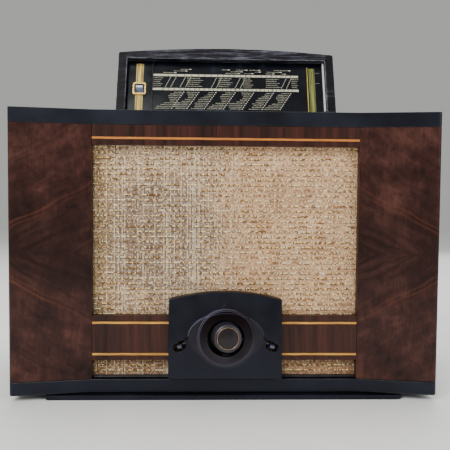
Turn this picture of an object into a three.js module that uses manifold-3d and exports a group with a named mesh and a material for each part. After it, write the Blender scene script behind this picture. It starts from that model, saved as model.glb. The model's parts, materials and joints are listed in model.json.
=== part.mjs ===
// Wide wooden table radio of the late 1930s, with a tilt-up dial and one multi-way knob.
// Millimetres, +Z up, front faces -Y. The origin is the centre of the plinth's underside.

import * as THREE from 'three';
import { mergeVertices } from 'three/addons/utils/BufferGeometryUtils.js';
import Module from 'manifold-3d';

const wasm = await Module();
wasm.setup();

// ---------------------------------------------------------------- driving dimensions

const GAP = 0.3; // clearance between pieces that touch

const CASE = {
  width: 564,
  front: -137.7, // the outer edges of the wings
  back: 135,
  bottom: 8,
  top: 383.2,
  base: 18, // thickness of the base board
  lid: 19.2,
  corner: 5, // radius of the outer front edges
  wingInner: 177.2, // half width between the wings
  recess: 15.5, // how far the middle of the front lies behind its outer edges
  panel: 11, // thickness of the wings and rails
  side: 12,
};
const FRONT = CASE.front;
const BACK = CASE.back;
const HALF = CASE.width / 2;
const BASE_TOP = CASE.bottom + CASE.base;
const LID_BOTTOM = CASE.top - CASE.lid;
const RAIL_FACE = FRONT + CASE.recess;
const RAIL_BACK = RAIL_FACE + CASE.panel;

const FOOT = { halfWidth: 238, front: -130, back: 125, height: 6.2, inset: 12, curl: 5.8 };
const TOP_RAIL = { bottom: 337.5 };
const LOWER_RAIL = { bottom: 51.5, top: 111.6 };
const INLAY = { height: 3, depth: 1.2, top: 346.4, upper: 101.7, lower: 59.5 };
const BEAD_HEIGHT = 3.2;
const CLOTH = { front: RAIL_BACK + GAP, thickness: 1.5 };
const BAFFLE = { front: CLOTH.front + CLOTH.thickness + GAP, thickness: 9, halfWidth: 190 };
const BAFFLE_BACK = BAFFLE.front + BAFFLE.thickness;
const CONTROL_CUT = { halfWidth: 52, bottom: 52, top: 118 }; // opening behind the escutcheon

const SPEAKER = {
  x: -88,
  z: 215,
  hole: 82,
  flange: 92,
  depth: 46,
  sheet: 2,
  windows: 4, // openings round the basket
  windowHalf: 16,
  magnet: 34,
  magnetDepth: 30,
  poleGap: [11, 15.5],
};

const ESCUTCHEON = {
  halfWidth: 75,
  bottom: 30.2,
  shoulder: 133.5,
  apex: 143.7,
  front: RAIL_FACE - 14.8, // face plane where it meets the bottom edge
  slope: THREE.MathUtils.degToRad(5),
  wall: 3,
};
const RING = { x: 0.7, z: 85.1, plane: RAIL_FACE - 13.8, outer: 37.5, lip: 34.5, drop: 3.6 };
const BOWL = { hole: 24.5, depth: 8, wall: 2.5 };
const LOBE = { halfWidth: 48, halfHeight: 28, proud: 2.5 };
const SLOT = { radius: 62.3, angle: THREE.MathUtils.degToRad(-11.4), length: 15.5, width: 11.5 };

const PIVOT = new THREE.Vector3(0.7, RAIL_FACE + 2.2, 84); // where the knob's tilts cross
const KNOB_REST = { yaw: THREE.MathUtils.degToRad(5), pitch: THREE.MathUtils.degToRad(-5) };
const KNOB = { radius: 18.8, face: 27, back: 17.5, brass: 14.2, skirt: 21.5, shaft: 3, shaftEnd: 30 };
const YOKE = { outer: 20.5, inner: 16.6, thickness: 5, pin: 1.6, pinEnd: 25.5 };
const CRADLE = { outer: 12.4, pinEnd: 18.8, hub: 7 };
const LEVER = { inner: 41.5, outer: 47, front: RAIL_FACE + 1.2, thickness: 2, tab: 4 };

const DIAL = {
  lean: THREE.MathUtils.degToRad(18.8),
  hinge: new THREE.Vector3(1.3, -58.9, 374),
  halfWidth: 157.3,
  corner: 3,
  below: 8, // hinge axis to the unit's bottom edge
  face: 8, // hinge axis to the frame's face
  shoulder: 110.8,
  apex: 119,
  frameBack: 4,
  back: 22,
  wall: 2.5,
  windowHalf: 144.8,
  windowBottom: 6,
  windowTop: 101.3,
  pin: 3,
};
const PLATE = { front: 4.3, thickness: 2.5, halfWidth: 148.5, bottom: 3, top: 107 };
const POINTER = { x: -107.8, rail: 104.6, railY: 2.5 };
const EYE = { x: -126.6, z: 57.6, half: 9.6, rim: 2.2, corner: 3.2 };
const DIFFUSER = { width: 2.2, front: -1, back: 2.8, bottom: 22.3 };
const DIAL_LAMP = { x: 96, z: 8 };
const WELL = { front: -71.2, back: 62.5, halfWidth: 160, floor: 349, wall: 3 };

const CHASSIS = { halfWidth: 235, front: -66, back: 114, top: 86, sheet: 2 };
const GANG = { x: 35, y: -22, axis: 120, plate: 22, length: 56, fins: 4, pitch: 12 };
const TRANSFORMERS = [
  { name: 'mains_transformer', x: 175, y: 34, width: 84, depth: 56, height: 72 },
  { name: 'output_transformer', x: -190, y: -10, width: 52, depth: 30, height: 42 },
];
const CANS = [
  { name: 'smoothing_capacitor', x: 95, y: 78, radius: 18, height: 92 },
  { name: 'if_can_1', x: -60, y: 78, radius: 17, height: 72 },
];
const VALVES = [[-5, 76], [45, 70], [-125, 60]]; // places on the chassis
const INLET = { x0: 180, x1: 216, z0: 46, z1: 72, depth: 10, pins: [188, 208] };
const AERIAL = { x0: -220, x1: -180, z0: 46, z1: 66, depth: 4, sockets: [-212, -200, -188] };
const COVER = { front: BACK - 3.8, thickness: 3, screwX: 275.5, screwZ: [62, 329] };
const VENTS = { width: 42, height: 5, columns: 7, rows: 9, pitchX: 62, pitchZ: 17, bottom: 150 };

// ---------------------------------------------------------------- materials

const material = (color, roughness, metalness = 0) =>
  new THREE.MeshStandardMaterial({ color, roughness, metalness });

const MATERIALS = {
  walnut: material(0x4a2d20, 0.35),
  rail: material(0x3a2119, 0.45),
  lacquer: material(0x1d1f26, 0.3),
  inlay: material(0xc98a2e, 0.45),
  cloth: material(0xb39a7d, 0.95),
  plywood: material(0x9a7448, 0.8),
  fibreboard: material(0x5a4330, 0.9),
  bakelite: material(0x15171c, 0.35),
  knob: material(0x1c1512, 0.2),
  brass: material(0xb58a4a, 0.3, 1),
  steel: material(0x9a9a98, 0.4, 1),
  iron: material(0x35353a, 0.6, 0.6),
  aluminium: material(0xb8babc, 0.35, 1),
  valve: material(0x8b8f93, 0.15),
  paper: material(0x2b2824, 0.95),
  dialGlass: material(0x0b0d12, 0.1),
  diffuser: material(0xf2f2ee, 0.5),
};

// ---------------------------------------------------------------- shape helpers

const point = (x, y) => new THREE.Vector2(x, y);

const polygon = (pairs) => new THREE.Shape(pairs.map(([x, y]) => point(x, y)));

function extrude(shape, depth, segments = 8) {
  return new THREE.ExtrudeGeometry(shape, { depth, bevelEnabled: false, curveSegments: segments });
}

const BASIS = {
  x: new THREE.Matrix4().set(0, 0, 1, 0, 1, 0, 0, 0, 0, 1, 0, 0, 0, 0, 0, 1),
  y: new THREE.Matrix4().set(1, 0, 0, 0, 0, 0, -1, 0, 0, 1, 0, 0, 0, 0, 0, 1),
};

// An outline in Y and Z, extruded along X.
const alongX = (shape, x0, x1, segments) =>
  extrude(shape, x1 - x0, segments).applyMatrix4(BASIS.x).translate(x0, 0, 0);

// An outline in X and Z, extruded along Y.
const alongY = (shape, y0, y1, segments) =>
  extrude(shape, y1 - y0, segments).applyMatrix4(BASIS.y).translate(0, y1, 0);

// An outline in X and Y, extruded along Z.
const alongZ = (shape, z0, z1, segments) => extrude(shape, z1 - z0, segments).translate(0, 0, z0);

const block = (x0, x1, y0, y1, z0, z1) =>
  new THREE.BoxGeometry(x1 - x0, y1 - y0, z1 - z0)
    .translate((x0 + x1) / 2, (y0 + y1) / 2, (z0 + z1) / 2);

// A body of revolution about Z from [radius, height] pairs, in either order.
function turned(pairs, segments = 32) {
  const profile = pairs.map(([r, h]) => point(r, h));
  if (THREE.ShapeUtils.area(profile) < 0) profile.reverse();
  return new THREE.LatheGeometry(profile, segments).rotateX(Math.PI / 2);
}

// The same about an axis that points to the front, so heights run towards -Y.
const turnedToFront = (pairs, segments) => turned(pairs, segments).rotateX(Math.PI / 2);

const rod = (radius, z0, z1, segments = 16) =>
  turned([[0, z0], [radius, z0], [radius, z1], [0, z1]], segments);

const rodAlongX = (radius, x0, x1, segments) => rod(radius, x0, x1, segments).rotateY(Math.PI / 2);

function solid(geometry) {
  const bare = geometry.clone();
  bare.deleteAttribute('normal');
  bare.deleteAttribute('uv');
  const welded = mergeVertices(bare, 1e-4);
  return new wasm.Manifold(new wasm.Mesh({
    numProp: 3,
    vertProperties: new Float32Array(welded.attributes.position.array),
    triVerts: new Uint32Array(welded.index.array),
  }));
}

function toGeometry(manifold) {
  const mesh = manifold.getMesh();
  const geometry = new THREE.BufferGeometry();
  geometry.setAttribute('position', new THREE.BufferAttribute(mesh.vertProperties, 3));
  geometry.setIndex(new THREE.BufferAttribute(mesh.triVerts, 1));
  return geometry;
}

// Joins the geometries in `parts`, then cuts away those in `cuts`.
function carve(parts, cuts = []) {
  const joined = parts.map(solid).reduce((sum, part) => sum.add(part));
  return toGeometry(cuts.map(solid).reduce((rest, cut) => rest.subtract(cut), joined));
}

const group = new THREE.Group();

function add(name, geometry, look, parent = group) {
  const mesh = new THREE.Mesh(geometry, MATERIALS[look]);
  mesh.name = name;
  parent.add(mesh);
  return mesh;
}

// ---------------------------------------------------------------- cabinet

// The plan of the case: wings that run back from the outer edges to a recessed middle.
function casePlan() {
  const r = CASE.corner;
  const shape = new THREE.Shape();
  shape.moveTo(-HALF, FRONT + r);
  shape.absarc(-HALF + r, FRONT + r, r, Math.PI, Math.PI * 1.5, false);
  shape.lineTo(-CASE.wingInner, RAIL_FACE);
  shape.lineTo(CASE.wingInner, RAIL_FACE);
  shape.lineTo(HALF - r, FRONT);
  shape.absarc(HALF - r, FRONT + r, r, Math.PI * 1.5, Math.PI * 2, false);
  shape.lineTo(HALF, BACK);
  shape.lineTo(-HALF, BACK);
  return shape;
}

function addBoards() {
  add('base_board', alongZ(casePlan(), CASE.bottom, BASE_TOP, 4), 'lacquer');
  const recess = block(-WELL.halfWidth, WELL.halfWidth, WELL.front, WELL.back, 300, 400)
    .translate(DIAL.hinge.x, 0, 0);
  const pinHoles = rodAlongX(DIAL.pin + 0.2, -WELL.halfWidth - 11, WELL.halfWidth + 11, 12)
    .translate(...DIAL.hinge.toArray());
  const lid = alongZ(casePlan(), LID_BOTTOM, CASE.top, 4);
  add('top_board', carve([lid], [recess, pinHoles]), 'lacquer');
}

// One wing: a veneered panel with a rounded outer edge; side is -1 on the left.
function addWing(name, side) {
  const r = CASE.corner;
  const outer = HALF;
  const shape = new THREE.Shape();
  shape.moveTo(-outer, FRONT + r);
  shape.absarc(-outer + r, FRONT + r, r, Math.PI, Math.PI * 1.5, false);
  shape.lineTo(-CASE.wingInner, RAIL_FACE);
  shape.lineTo(-CASE.wingInner, RAIL_BACK);
  shape.lineTo(-outer + CASE.side, FRONT + CASE.panel + 1);
  shape.lineTo(-outer, FRONT + CASE.panel + 1);
  const outline = shape.getPoints(4).map((p) => point(-side * p.x, p.y));
  add(name, alongZ(new THREE.Shape(outline), BASE_TOP + GAP, LID_BOTTOM - GAP), 'walnut');
}

function addSides() {
  const front = FRONT + CASE.panel + 1 + GAP;
  const back = COVER.front - GAP;
  for (const [name, side] of [['left_side', -1], ['right_side', 1]]) {
    const x0 = side < 0 ? -HALF : HALF - CASE.side;
    const board = block(x0, x0 + CASE.side, front, back, BASE_TOP + GAP, LID_BOTTOM - GAP);
    const holes = COVER.screwZ.map((z) => rod(1.9, -15, 1, 10).rotateX(-Math.PI / 2)
      .translate(side * COVER.screwX, back, z));
    add(name, carve([board], holes), 'walnut');
  }
}

// A rail's section in Y and Z, with a groove in its face for each inlay strip.
function railSection(bottom, top, inlays) {
  const half = INLAY.height / 2 + GAP;
  const pairs = [[RAIL_BACK, bottom], [RAIL_BACK, top], [RAIL_FACE, top]];
  for (const z of inlays) {
    pairs.push([RAIL_FACE, z + half], [RAIL_FACE + INLAY.depth + GAP, z + half]);
    pairs.push([RAIL_FACE + INLAY.depth + GAP, z - half], [RAIL_FACE, z - half]);
  }
  pairs.push([RAIL_FACE, bottom]);
  return polygon(pairs.reverse());
}

function addInlay(name, x0, x1, z) {
  const face = RAIL_FACE;
  add(name, block(x0, x1, face, face + INLAY.depth, z - INLAY.height / 2, z + INLAY.height / 2), 'inlay');
}

function addRails() {
  const end = CASE.wingInner - GAP;
  const inner = ESCUTCHEON.halfWidth + GAP;
  const top = railSection(TOP_RAIL.bottom, LID_BOTTOM - GAP, [INLAY.top]);
  add('top_rail', alongX(top, -end, end), 'rail');
  addInlay('top_inlay', -end, end, INLAY.top);
  const lower = railSection(LOWER_RAIL.bottom, LOWER_RAIL.top, [INLAY.upper, INLAY.lower]);
  for (const [side, x0, x1] of [['left', -end, -inner], ['right', inner, end]]) {
    add(`lower_rail_${side}`, alongX(lower, x0, x1), 'rail');
    addInlay(`upper_inlay_${side}`, x0, x1, INLAY.upper);
    addInlay(`lower_inlay_${side}`, x0, x1, INLAY.lower);
  }
  const bead = [RAIL_FACE + 4, RAIL_BACK, BASE_TOP + GAP, BASE_TOP + GAP + BEAD_HEIGHT];
  add('bottom_bead', block(-end, end, ...bead), 'lacquer');
}

function addFoot() {
  const { halfWidth: w, height: h, curl: r, inset } = FOOT;
  const shape = new THREE.Shape();
  shape.moveTo(-w + r, 0);
  shape.lineTo(w - r, 0);
  shape.absarc(w - r, r, r, Math.PI * 1.5, Math.PI * 2, false);
  shape.lineTo(w, h);
  shape.lineTo(-w, h);
  shape.absarc(-w + r, r, r, Math.PI, Math.PI * 1.5, false);
  const board = alongY(shape, FOOT.front, FOOT.back, 5);
  const spacer = block(-w + inset, w - inset, FOOT.front + inset, FOOT.back - inset,
    h - 1, CASE.bottom - GAP);
  add('foot_skid', carve([board, spacer]), 'lacquer');
}

// ---------------------------------------------------------------- grille and speaker

function controlCut(y0, y1) {
  return block(-CONTROL_CUT.halfWidth, CONTROL_CUT.halfWidth, y0, y1, CONTROL_CUT.bottom, CONTROL_CUT.top);
}

function addGrille() {
  const clothBack = CLOTH.front + CLOTH.thickness;
  const cloth = block(-CASE.wingInner - 6, CASE.wingInner + 6, CLOTH.front, clothBack,
    BASE_TOP + GAP, LID_BOTTOM - GAP);
  add('grille_cloth', carve([cloth], [controlCut(CLOTH.front - 5, clothBack + 5)]), 'cloth');
  const board = block(-BAFFLE.halfWidth, BAFFLE.halfWidth, BAFFLE.front, BAFFLE_BACK,
    BASE_TOP + GAP, LID_BOTTOM - GAP);
  const hole = turnedToFront([[0, -60], [SPEAKER.hole, -60], [SPEAKER.hole, 60], [0, 60]], 40)
    .translate(SPEAKER.x, BAFFLE.front, SPEAKER.z);
  add('baffle_board', carve([board], [hole, controlCut(BAFFLE.front - 5, BAFFLE_BACK + 5)]), 'plywood');
}

function addSpeaker() {
  const place = (geometry) => geometry.translate(SPEAKER.x, BAFFLE_BACK + GAP, SPEAKER.z);
  const { hole, flange, depth, sheet, magnet, magnetDepth, windowHalf, poleGap } = SPEAKER;
  const inner = hole + 1.5;
  const outer = inner + sheet;
  const basket = turnedToFront([
    [inner, 0], [flange, 0], [flange, -sheet], [outer, -sheet],
    [outer, -12], [magnet, -depth], [18, -depth], [18, -depth + sheet],
    [magnet - 1, -depth + sheet], [inner, -11], [inner, 0],
  ], 28);
  const windows = [];
  for (let i = 0; i < SPEAKER.windows; i += 1) {
    const turn = Math.PI / 4 + (i * Math.PI * 2) / SPEAKER.windows;
    windows.push(block(-windowHalf, windowHalf, 14, depth - 8, 20, 90).rotateY(turn));
  }
  add('speaker_basket', place(carve([basket], windows)), 'iron');
  const cone = turnedToFront([
    [0, -30], [13, -34], [14, -36], [14, -50], [12.5, -50], [12.5, -36], [0, -32],
  ], 24);
  const skin = turnedToFront([
    [12.6, -36.4], [14, -36], [hole - 9, -5.4], [hole - 4, -6.4], [hole - 0.5, -3],
    [hole - 0.5, -1.6], [hole - 4, -5], [hole - 10, -3.8], [12.6, -34.6], [12.6, -36.4],
  ], 24);
  add('speaker_cone', place(carve([cone, skin])), 'paper');
  const pot = turnedToFront([
    [0, -depth - GAP - magnetDepth], [magnet, -depth - GAP - magnetDepth], [magnet, -depth - GAP],
    [poleGap[1], -depth - GAP], [poleGap[1], -depth - 14], [poleGap[0], -depth - 14],
    [poleGap[0], -depth + 4], [0, -depth + 4],
  ], 24);
  add('speaker_magnet', place(pot), 'steel');
}

// ---------------------------------------------------------------- escutcheon and knob

function escutcheonOutline(inset) {
  const w = ESCUTCHEON.halfWidth - inset;
  const shoulder = ESCUTCHEON.shoulder - inset;
  const rise = ESCUTCHEON.apex - ESCUTCHEON.shoulder;
  const radius = (w * w + rise * rise) / (2 * rise);
  const half = Math.asin(w / radius);
  const shape = new THREE.Shape();
  shape.moveTo(-w, ESCUTCHEON.bottom + inset);
  shape.lineTo(w, ESCUTCHEON.bottom + inset);
  shape.lineTo(w, shoulder);
  shape.absarc(0, shoulder + rise - radius, radius, Math.PI / 2 - half, Math.PI / 2 + half, false);
  return shape;
}

// Everything in front of the sloping face, moved `behind` mm into the moulding.
function aheadOfFace(behind) {
  const size = 400;
  return new THREE.BoxGeometry(size, size, size)
    .translate(0, -size / 2, 0)
    .rotateX(-ESCUTCHEON.slope)
    .translate(0, ESCUTCHEON.front + behind, ESCUTCHEON.bottom);
}

// A turned piece on the ring's centre whose deeper parts drop towards the floor.
function dropping(pairs, segments) {
  const shear = new THREE.Matrix4().set(1, 0, 0, 0, 0, 1, 0, 0, 0, -RING.drop / BOWL.depth, 1, 0, 0, 0, 0, 1);
  return turnedToFront(pairs, segments).applyMatrix4(shear).translate(RING.x, RING.plane, RING.z);
}

function onRing(geometry, side) {
  return geometry.rotateY(-SLOT.angle * side).translate(RING.x, 0, RING.z);
}

function addEscutcheon() {
  const back = CLOTH.front - GAP;
  const body = solid(alongY(escutcheonOutline(0), FRONT - 20, back, 10)).subtract(solid(aheadOfFace(0)));
  const cavity = solid(alongY(escutcheonOutline(ESCUTCHEON.wall), FRONT - 20, back + 1, 10))
    .subtract(solid(aheadOfFace(ESCUTCHEON.wall)));
  const lobes = solid(turnedToFront([[0, -12], [1, -12], [1, 0], [0.93, LOBE.proud], [0, LOBE.proud]], 32)
    .scale(LOBE.halfWidth, 1, LOBE.halfHeight)
    .rotateX(-ESCUTCHEON.slope)
    .translate(RING.x, ESCUTCHEON.front + (RING.z - ESCUTCHEON.bottom) * Math.tan(ESCUTCHEON.slope), RING.z));
  const { outer, lip } = RING;
  const { hole, depth, wall } = BOWL;
  const ring = solid(dropping([
    [0, -depth], [hole + wall, -depth], [outer, -4], [outer, -1], [outer - 1.5, 0], [0, 0],
  ], 32));
  const bowl = solid(dropping([
    [0, -depth - 30], [hole, -depth - 30], [hole, -depth], [lip, -1.5], [lip + 1, 1], [0, 1],
  ], 32));
  let moulding = body.subtract(cavity).add(lobes.subtract(cavity)).add(ring).subtract(bowl);
  for (const side of [-1, 1]) {
    const reach = side * SLOT.radius;
    const slot = block(reach - SLOT.length / 2, reach + SLOT.length / 2, FRONT - 20, back,
      -SLOT.width / 2, SLOT.width / 2);
    moulding = moulding.subtract(solid(onRing(slot, side)));
  }
  add('escutcheon', toGeometry(moulding), 'bakelite');
}

// The wave-band lever: a flat ring behind the face, with a finger tab in each slot.
function addWaveLever() {
  const { inner, outer, front, thickness, tab } = LEVER;
  const plate = turnedToFront([
    [inner, -thickness], [outer, -thickness], [outer, 0], [inner, 0], [inner, -thickness],
  ], 40).translate(RING.x, front, RING.z);
  const arms = [-1, 1].map((side) => {
    const ends = [side * (outer - 3), side * (SLOT.radius + 3)].sort((a, b) => a - b);
    return onRing(block(...ends, front, front + thickness, -tab / 2, tab / 2), side);
  });
  const tabs = [-1, 1].map((side) => {
    const ends = [side * (SLOT.radius - 3), side * (SLOT.radius + 3)].sort((a, b) => a - b);
    return onRing(block(...ends, RING.plane, front + thickness, -tab / 2, tab / 2), side);
  });
  add('wave_lever', carve([plate, ...arms, ...tabs]), 'bakelite');
}

// The gimbal that lets the knob tilt: a bracket, a yoke that swings sideways and a cradle.
function addControl() {
  const { outer, inner, thickness, pin, pinEnd } = YOKE;
  const half = thickness / 2;
  const bracketBack = BAFFLE_BACK + GAP + 2.5 - PIVOT.y;
  const bracket = new THREE.Group();
  bracket.position.copy(PIVOT);
  group.add(bracket);
  const ears = [-1, 1].map((side) => {
    const z = [side * 23, side * 26.5].sort((a, b) => a - b);
    return block(-5, 5, -5, bracketBack, ...z);
  });
  const web = block(-17, 17, bracketBack - 2.5, bracketBack, -26.5, 26.5);
  const feet = [-1, 1].map((side) => {
    const x = [side * 16, side * 62].sort((a, b) => a - b);
    return block(...x, bracketBack - 2.5, bracketBack, -8, 8);
  });
  const bores = [rod(pin + 0.2, -40, 40, 12), rod(11, 10, 60, 20).rotateX(-Math.PI / 2)];
  add('control_bracket', carve([...ears, web, ...feet], bores), 'steel', bracket);

  const yoke = new THREE.Group();
  yoke.rotation.z = KNOB_REST.yaw;
  bracket.add(yoke);
  const ring = turnedToFront([
    [inner, -half], [outer, -half], [outer, half], [inner, half], [inner, -half],
  ], 32);
  const yokePins = [rod(pin, inner + 1, pinEnd, 12), rod(pin, -pinEnd, -inner - 1, 12)];
  add('tone_yoke', carve([ring, ...yokePins], [rodAlongX(pin + 0.2, -40, 40, 12)]), 'steel', yoke);

  const cradle = new THREE.Group();
  cradle.rotation.x = KNOB_REST.pitch;
  yoke.add(cradle);
  const hub = turnedToFront([
    [KNOB.shaft + 0.2, -9], [CRADLE.hub, -9], [CRADLE.outer, -3], [CRADLE.outer, 3],
    [CRADLE.hub, 6], [KNOB.shaft + 0.2, 6], [KNOB.shaft + 0.2, -9],
  ], 24);
  const cradlePins = [-1, 1].map((side) => {
    const x = [side * (CRADLE.outer - 2), side * CRADLE.pinEnd].sort((a, b) => a - b);
    return rodAlongX(pin, ...x, 12);
  });
  add('volume_cradle', carve([hub, ...cradlePins]), 'brass', cradle);
  addKnob(cradle);
}

function addKnob(parent) {
  const { radius, face, back, brass, skirt, shaft, shaftEnd } = KNOB;
  const groove = 0.8;
  const cap = turnedToFront([
    [0, back + 5], [shaft + 1.2, back + 5], [shaft + 1.2, back - 3], [9, back - 3], [9, back], [radius, back],
    [radius, face - 4], [radius - 1, face - 1.6], [radius - 3, face - 0.6],
    [brass + groove, face - 0.4], [brass + groove, face - 1.4], [brass - groove, face - 1.4],
    [brass - groove, face - 0.4], [0, face],
  ], 28);
  add('knob_cap', cap, 'knob', parent);
  const wire = 0.5;
  add('knob_ring', turnedToFront([
    [brass - wire, face - 1.1], [brass + wire, face - 1.1], [brass + wire, face - 0.2],
    [brass - wire, face - 0.2], [brass - wire, face - 1.1],
  ], 28), 'brass', parent);
  const bowl = [];
  const steps = 4;
  const [start, end] = [37.5, 70].map(THREE.MathUtils.degToRad);
  for (const [r, from, to] of [[skirt, end, start], [skirt - 1.5, start, end]]) {
    for (let i = 0; i <= steps; i += 1) {
      const angle = from + ((to - from) * i) / steps;
      bowl.push([r * Math.sin(angle), r * Math.cos(angle)]);
    }
  }
  bowl.push(bowl[0]);
  add('ball_skirt', turnedToFront(bowl, 28), 'bakelite', parent);
  add('knob_shaft', turnedToFront([
    [0, -shaftEnd], [4.5, -shaftEnd], [4.5, -shaftEnd + 4], [shaft, -shaftEnd + 4], [shaft, 8],
    [shaft + 0.8, 8], [shaft + 0.8, back + 4.6], [0, back + 4.6],
  ], 20), 'steel', parent);
}

// ---------------------------------------------------------------- tilt-up dial

function dialOutline(inset) {
  const { below, corner } = DIAL;
  const w = DIAL.halfWidth - inset;
  const shoulder = DIAL.shoulder - inset;
  const rise = DIAL.apex - DIAL.shoulder;
  const radius = (w * w + rise * rise) / (2 * rise);
  const half = Math.asin((w - corner) / radius);
  const shape = new THREE.Shape();
  shape.moveTo(-w, -below + inset);
  shape.lineTo(w, -below + inset);
  shape.lineTo(w, shoulder - corner);
  shape.quadraticCurveTo(w, shoulder, ...arcPoint(radius, half, shoulder + rise - radius));
  shape.absarc(0, shoulder + rise - radius, radius, Math.PI / 2 - half, Math.PI / 2 + half, false);
  shape.quadraticCurveTo(-w, shoulder, -w, shoulder - corner);
  return shape;
}

const arcPoint = (radius, half, centre) => [radius * Math.sin(half), centre + radius * Math.cos(half)];

// The dial's pieces are placed with the hinge axis as origin: Y runs back, Z up the face.
function addDial() {
  const unit = new THREE.Group();
  unit.position.copy(DIAL.hinge);
  unit.rotation.x = -DIAL.lean;
  group.add(unit);
  const { face, frameBack, back, wall, windowHalf, windowBottom, windowTop, pin } = DIAL;
  const frame = alongY(dialOutline(0), -face, frameBack, 8);
  const window = block(-windowHalf, windowHalf, -20, 20, windowBottom, windowTop);
  const pocket = block(-PLATE.halfWidth - 1, PLATE.halfWidth + 1, 1, 20, PLATE.bottom - 1, PLATE.top + 0.6);
  const bores = rodAlongX(pin + 0.2, -200, 200, 12);
  add('dial_frame', carve([frame], [window, pocket, bores]), 'bakelite', unit);

  const shell = alongY(dialOutline(0.6), frameBack + GAP, back, 8);
  const hollow = alongY(dialOutline(0.6 + wall), 0, back - wall, 8);
  add('dial_housing', carve([shell], [hollow]), 'iron', unit);

  const plateBack = PLATE.front + PLATE.thickness;
  add('dial_plate', block(-PLATE.halfWidth, PLATE.halfWidth, PLATE.front, plateBack,
    PLATE.bottom, PLATE.top), 'dialGlass', unit);
  addDialParts(unit);
  for (const [name, side] of [['hinge_pin_left', -1], ['hinge_pin_right', 1]]) {
    const ends = [side * (windowHalf + 2), side * (WELL.halfWidth + 10)].sort((a, b) => a - b);
    add(name, rodAlongX(pin, ...ends, 12).translate(...DIAL.hinge.toArray()), 'steel');
  }
}

// The tuning eye's rounded square, shrunk by `inset`.
function eyeOutline(inset) {
  const half = EYE.half - inset;
  const r = EYE.corner - inset / 2;
  const shape = new THREE.Shape();
  for (let side = 0; side < 4; side += 1) {
    const turn = (side * Math.PI) / 2;
    const reach = (half - r) * Math.SQRT2;
    const x = EYE.x + reach * Math.cos(turn + Math.PI / 4);
    const z = EYE.z + reach * Math.sin(turn + Math.PI / 4);
    shape.absarc(x, z, r, turn, turn + Math.PI / 2, false);
  }
  return shape;
}

function addDialParts(unit) {
  const { rail, railY, x } = POINTER;
  add('pointer_rail', rodAlongX(0.6, -147, 147, 8).translate(0, railY, rail), 'steel', unit);
  const carriage = block(x - 4, x + 4, railY - 1.2, railY + 1.2, rail - 1.9, rail + 1.9);
  const needle = block(x - 0.4, x + 0.4, railY - 0.3, railY + 0.3, 22, rail - 1);
  add('pointer', carve([carriage, needle],
    [rodAlongX(0.8, -200, 200, 8).translate(0, railY, rail)]), 'brass', unit);

  const bezel = eyeOutline(0);
  bezel.holes.push(eyeOutline(EYE.rim));
  add('eye_bezel', alongY(bezel, PLATE.front - 2, PLATE.front - GAP, 4), 'brass', unit);
  const lens = eyeOutline(EYE.rim + GAP);
  add('eye_lens', alongY(lens, PLATE.front - 1.4, PLATE.front - GAP, 4), 'dialGlass', unit);

  const lampY = (PLATE.front + PLATE.thickness + DIAL.back - DIAL.wall) / 2;
  for (const [name, side] of [['dial_lamp_left', -1], ['dial_lamp_right', 1]]) {
    const lamp = turned([[0, -6], [4.4, -6], [4.4, 4], [5, 6], [5.4, 9], [4, 13], [0, 14.5]], 16);
    add(name, lamp.translate(side * DIAL_LAMP.x, lampY, DIAL_LAMP.z), 'valve', unit);
  }
  const edge = DIAL.windowHalf - GAP;
  const { width, front, back, bottom } = DIFFUSER;
  const strip = block(edge - width, edge, front, back, bottom, DIAL.windowTop - GAP);
  add('edge_diffuser', strip, 'diffuser', unit);
}

// The open tray under the lid that takes the folded dial.
function addWell() {
  const { front, back, halfWidth, floor, wall } = WELL;
  const top = LID_BOTTOM - GAP;
  const outside = block(-halfWidth - wall, halfWidth + wall, front - wall, back + wall, floor - wall, top);
  const inside = block(-halfWidth, halfWidth, front, back, floor, top + 5);
  add('dial_well', carve([outside], [inside]).translate(DIAL.hinge.x, 0, 0), 'iron');
}

// ---------------------------------------------------------------- chassis

function addChassis() {
  const { halfWidth: w, front, back, top, sheet } = CHASSIS;
  const bottom = BASE_TOP + GAP;
  const outside = block(-w, w, front, back, bottom, top);
  const inside = block(-w + sheet, w - sheet, front + sheet, back - sheet, bottom - 5, top - sheet);
  add('chassis_tray', carve([outside], [inside]), 'aluminium');
  addGang();
  addChassisParts();
}

// A block of laminations with a bobbin through its window.
function transformer({ width, depth, height }) {
  const core = block(-width / 2, width / 2, -depth / 2, depth / 2, 0, height);
  const bobbin = block(-width * 0.32, width * 0.32, -depth * 0.8, depth * 0.8, height * 0.2, height * 0.8);
  return carve([core, bobbin]);
}

function addChassisParts() {
  const z = CHASSIS.top + GAP;
  for (const part of TRANSFORMERS) {
    add(part.name, transformer(part).translate(part.x, part.y, z), 'iron');
  }
  for (const { name, x, y, radius: r, height: h } of CANS) {
    const can = turned([[0, 0], [r, 0], [r, h - 2], [r - 2, h], [0, h]], 24);
    add(name, can.translate(x, y, z), 'aluminium');
  }
  const bulb = [
    [0, 0], [16, 0], [16, 22], [13, 26], [19, 48], [19, 78], [13, 92], [5, 97], [5, 105], [0, 105],
  ];
  VALVES.forEach(([x, y], i) => add(`valve_${i + 1}`, turned(bulb, 24).translate(x, y, z), 'valve'));
  addRearSocket('mains_inlet', INLET, INLET.pins, 5, 2, 'bakelite');
  addRearSocket('aerial_strip', AERIAL, AERIAL.sockets, 2.2, 1, 'paper');
}

// A block on the chassis's rear face with a row of round blind holes that leave a floor.
function addRearSocket(name, { x0, x1, z0, z1, depth }, places, radius, floor, look) {
  const rear = CHASSIS.back + GAP;
  const body = block(x0, x1, rear, rear + depth, z0, z1);
  const holes = places.map((x) => rod(radius, floor, depth + 10, 12)
    .rotateX(-Math.PI / 2).translate(x, rear, (z0 + z1) / 2));
  add(name, carve([body], holes), look);
}

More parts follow.
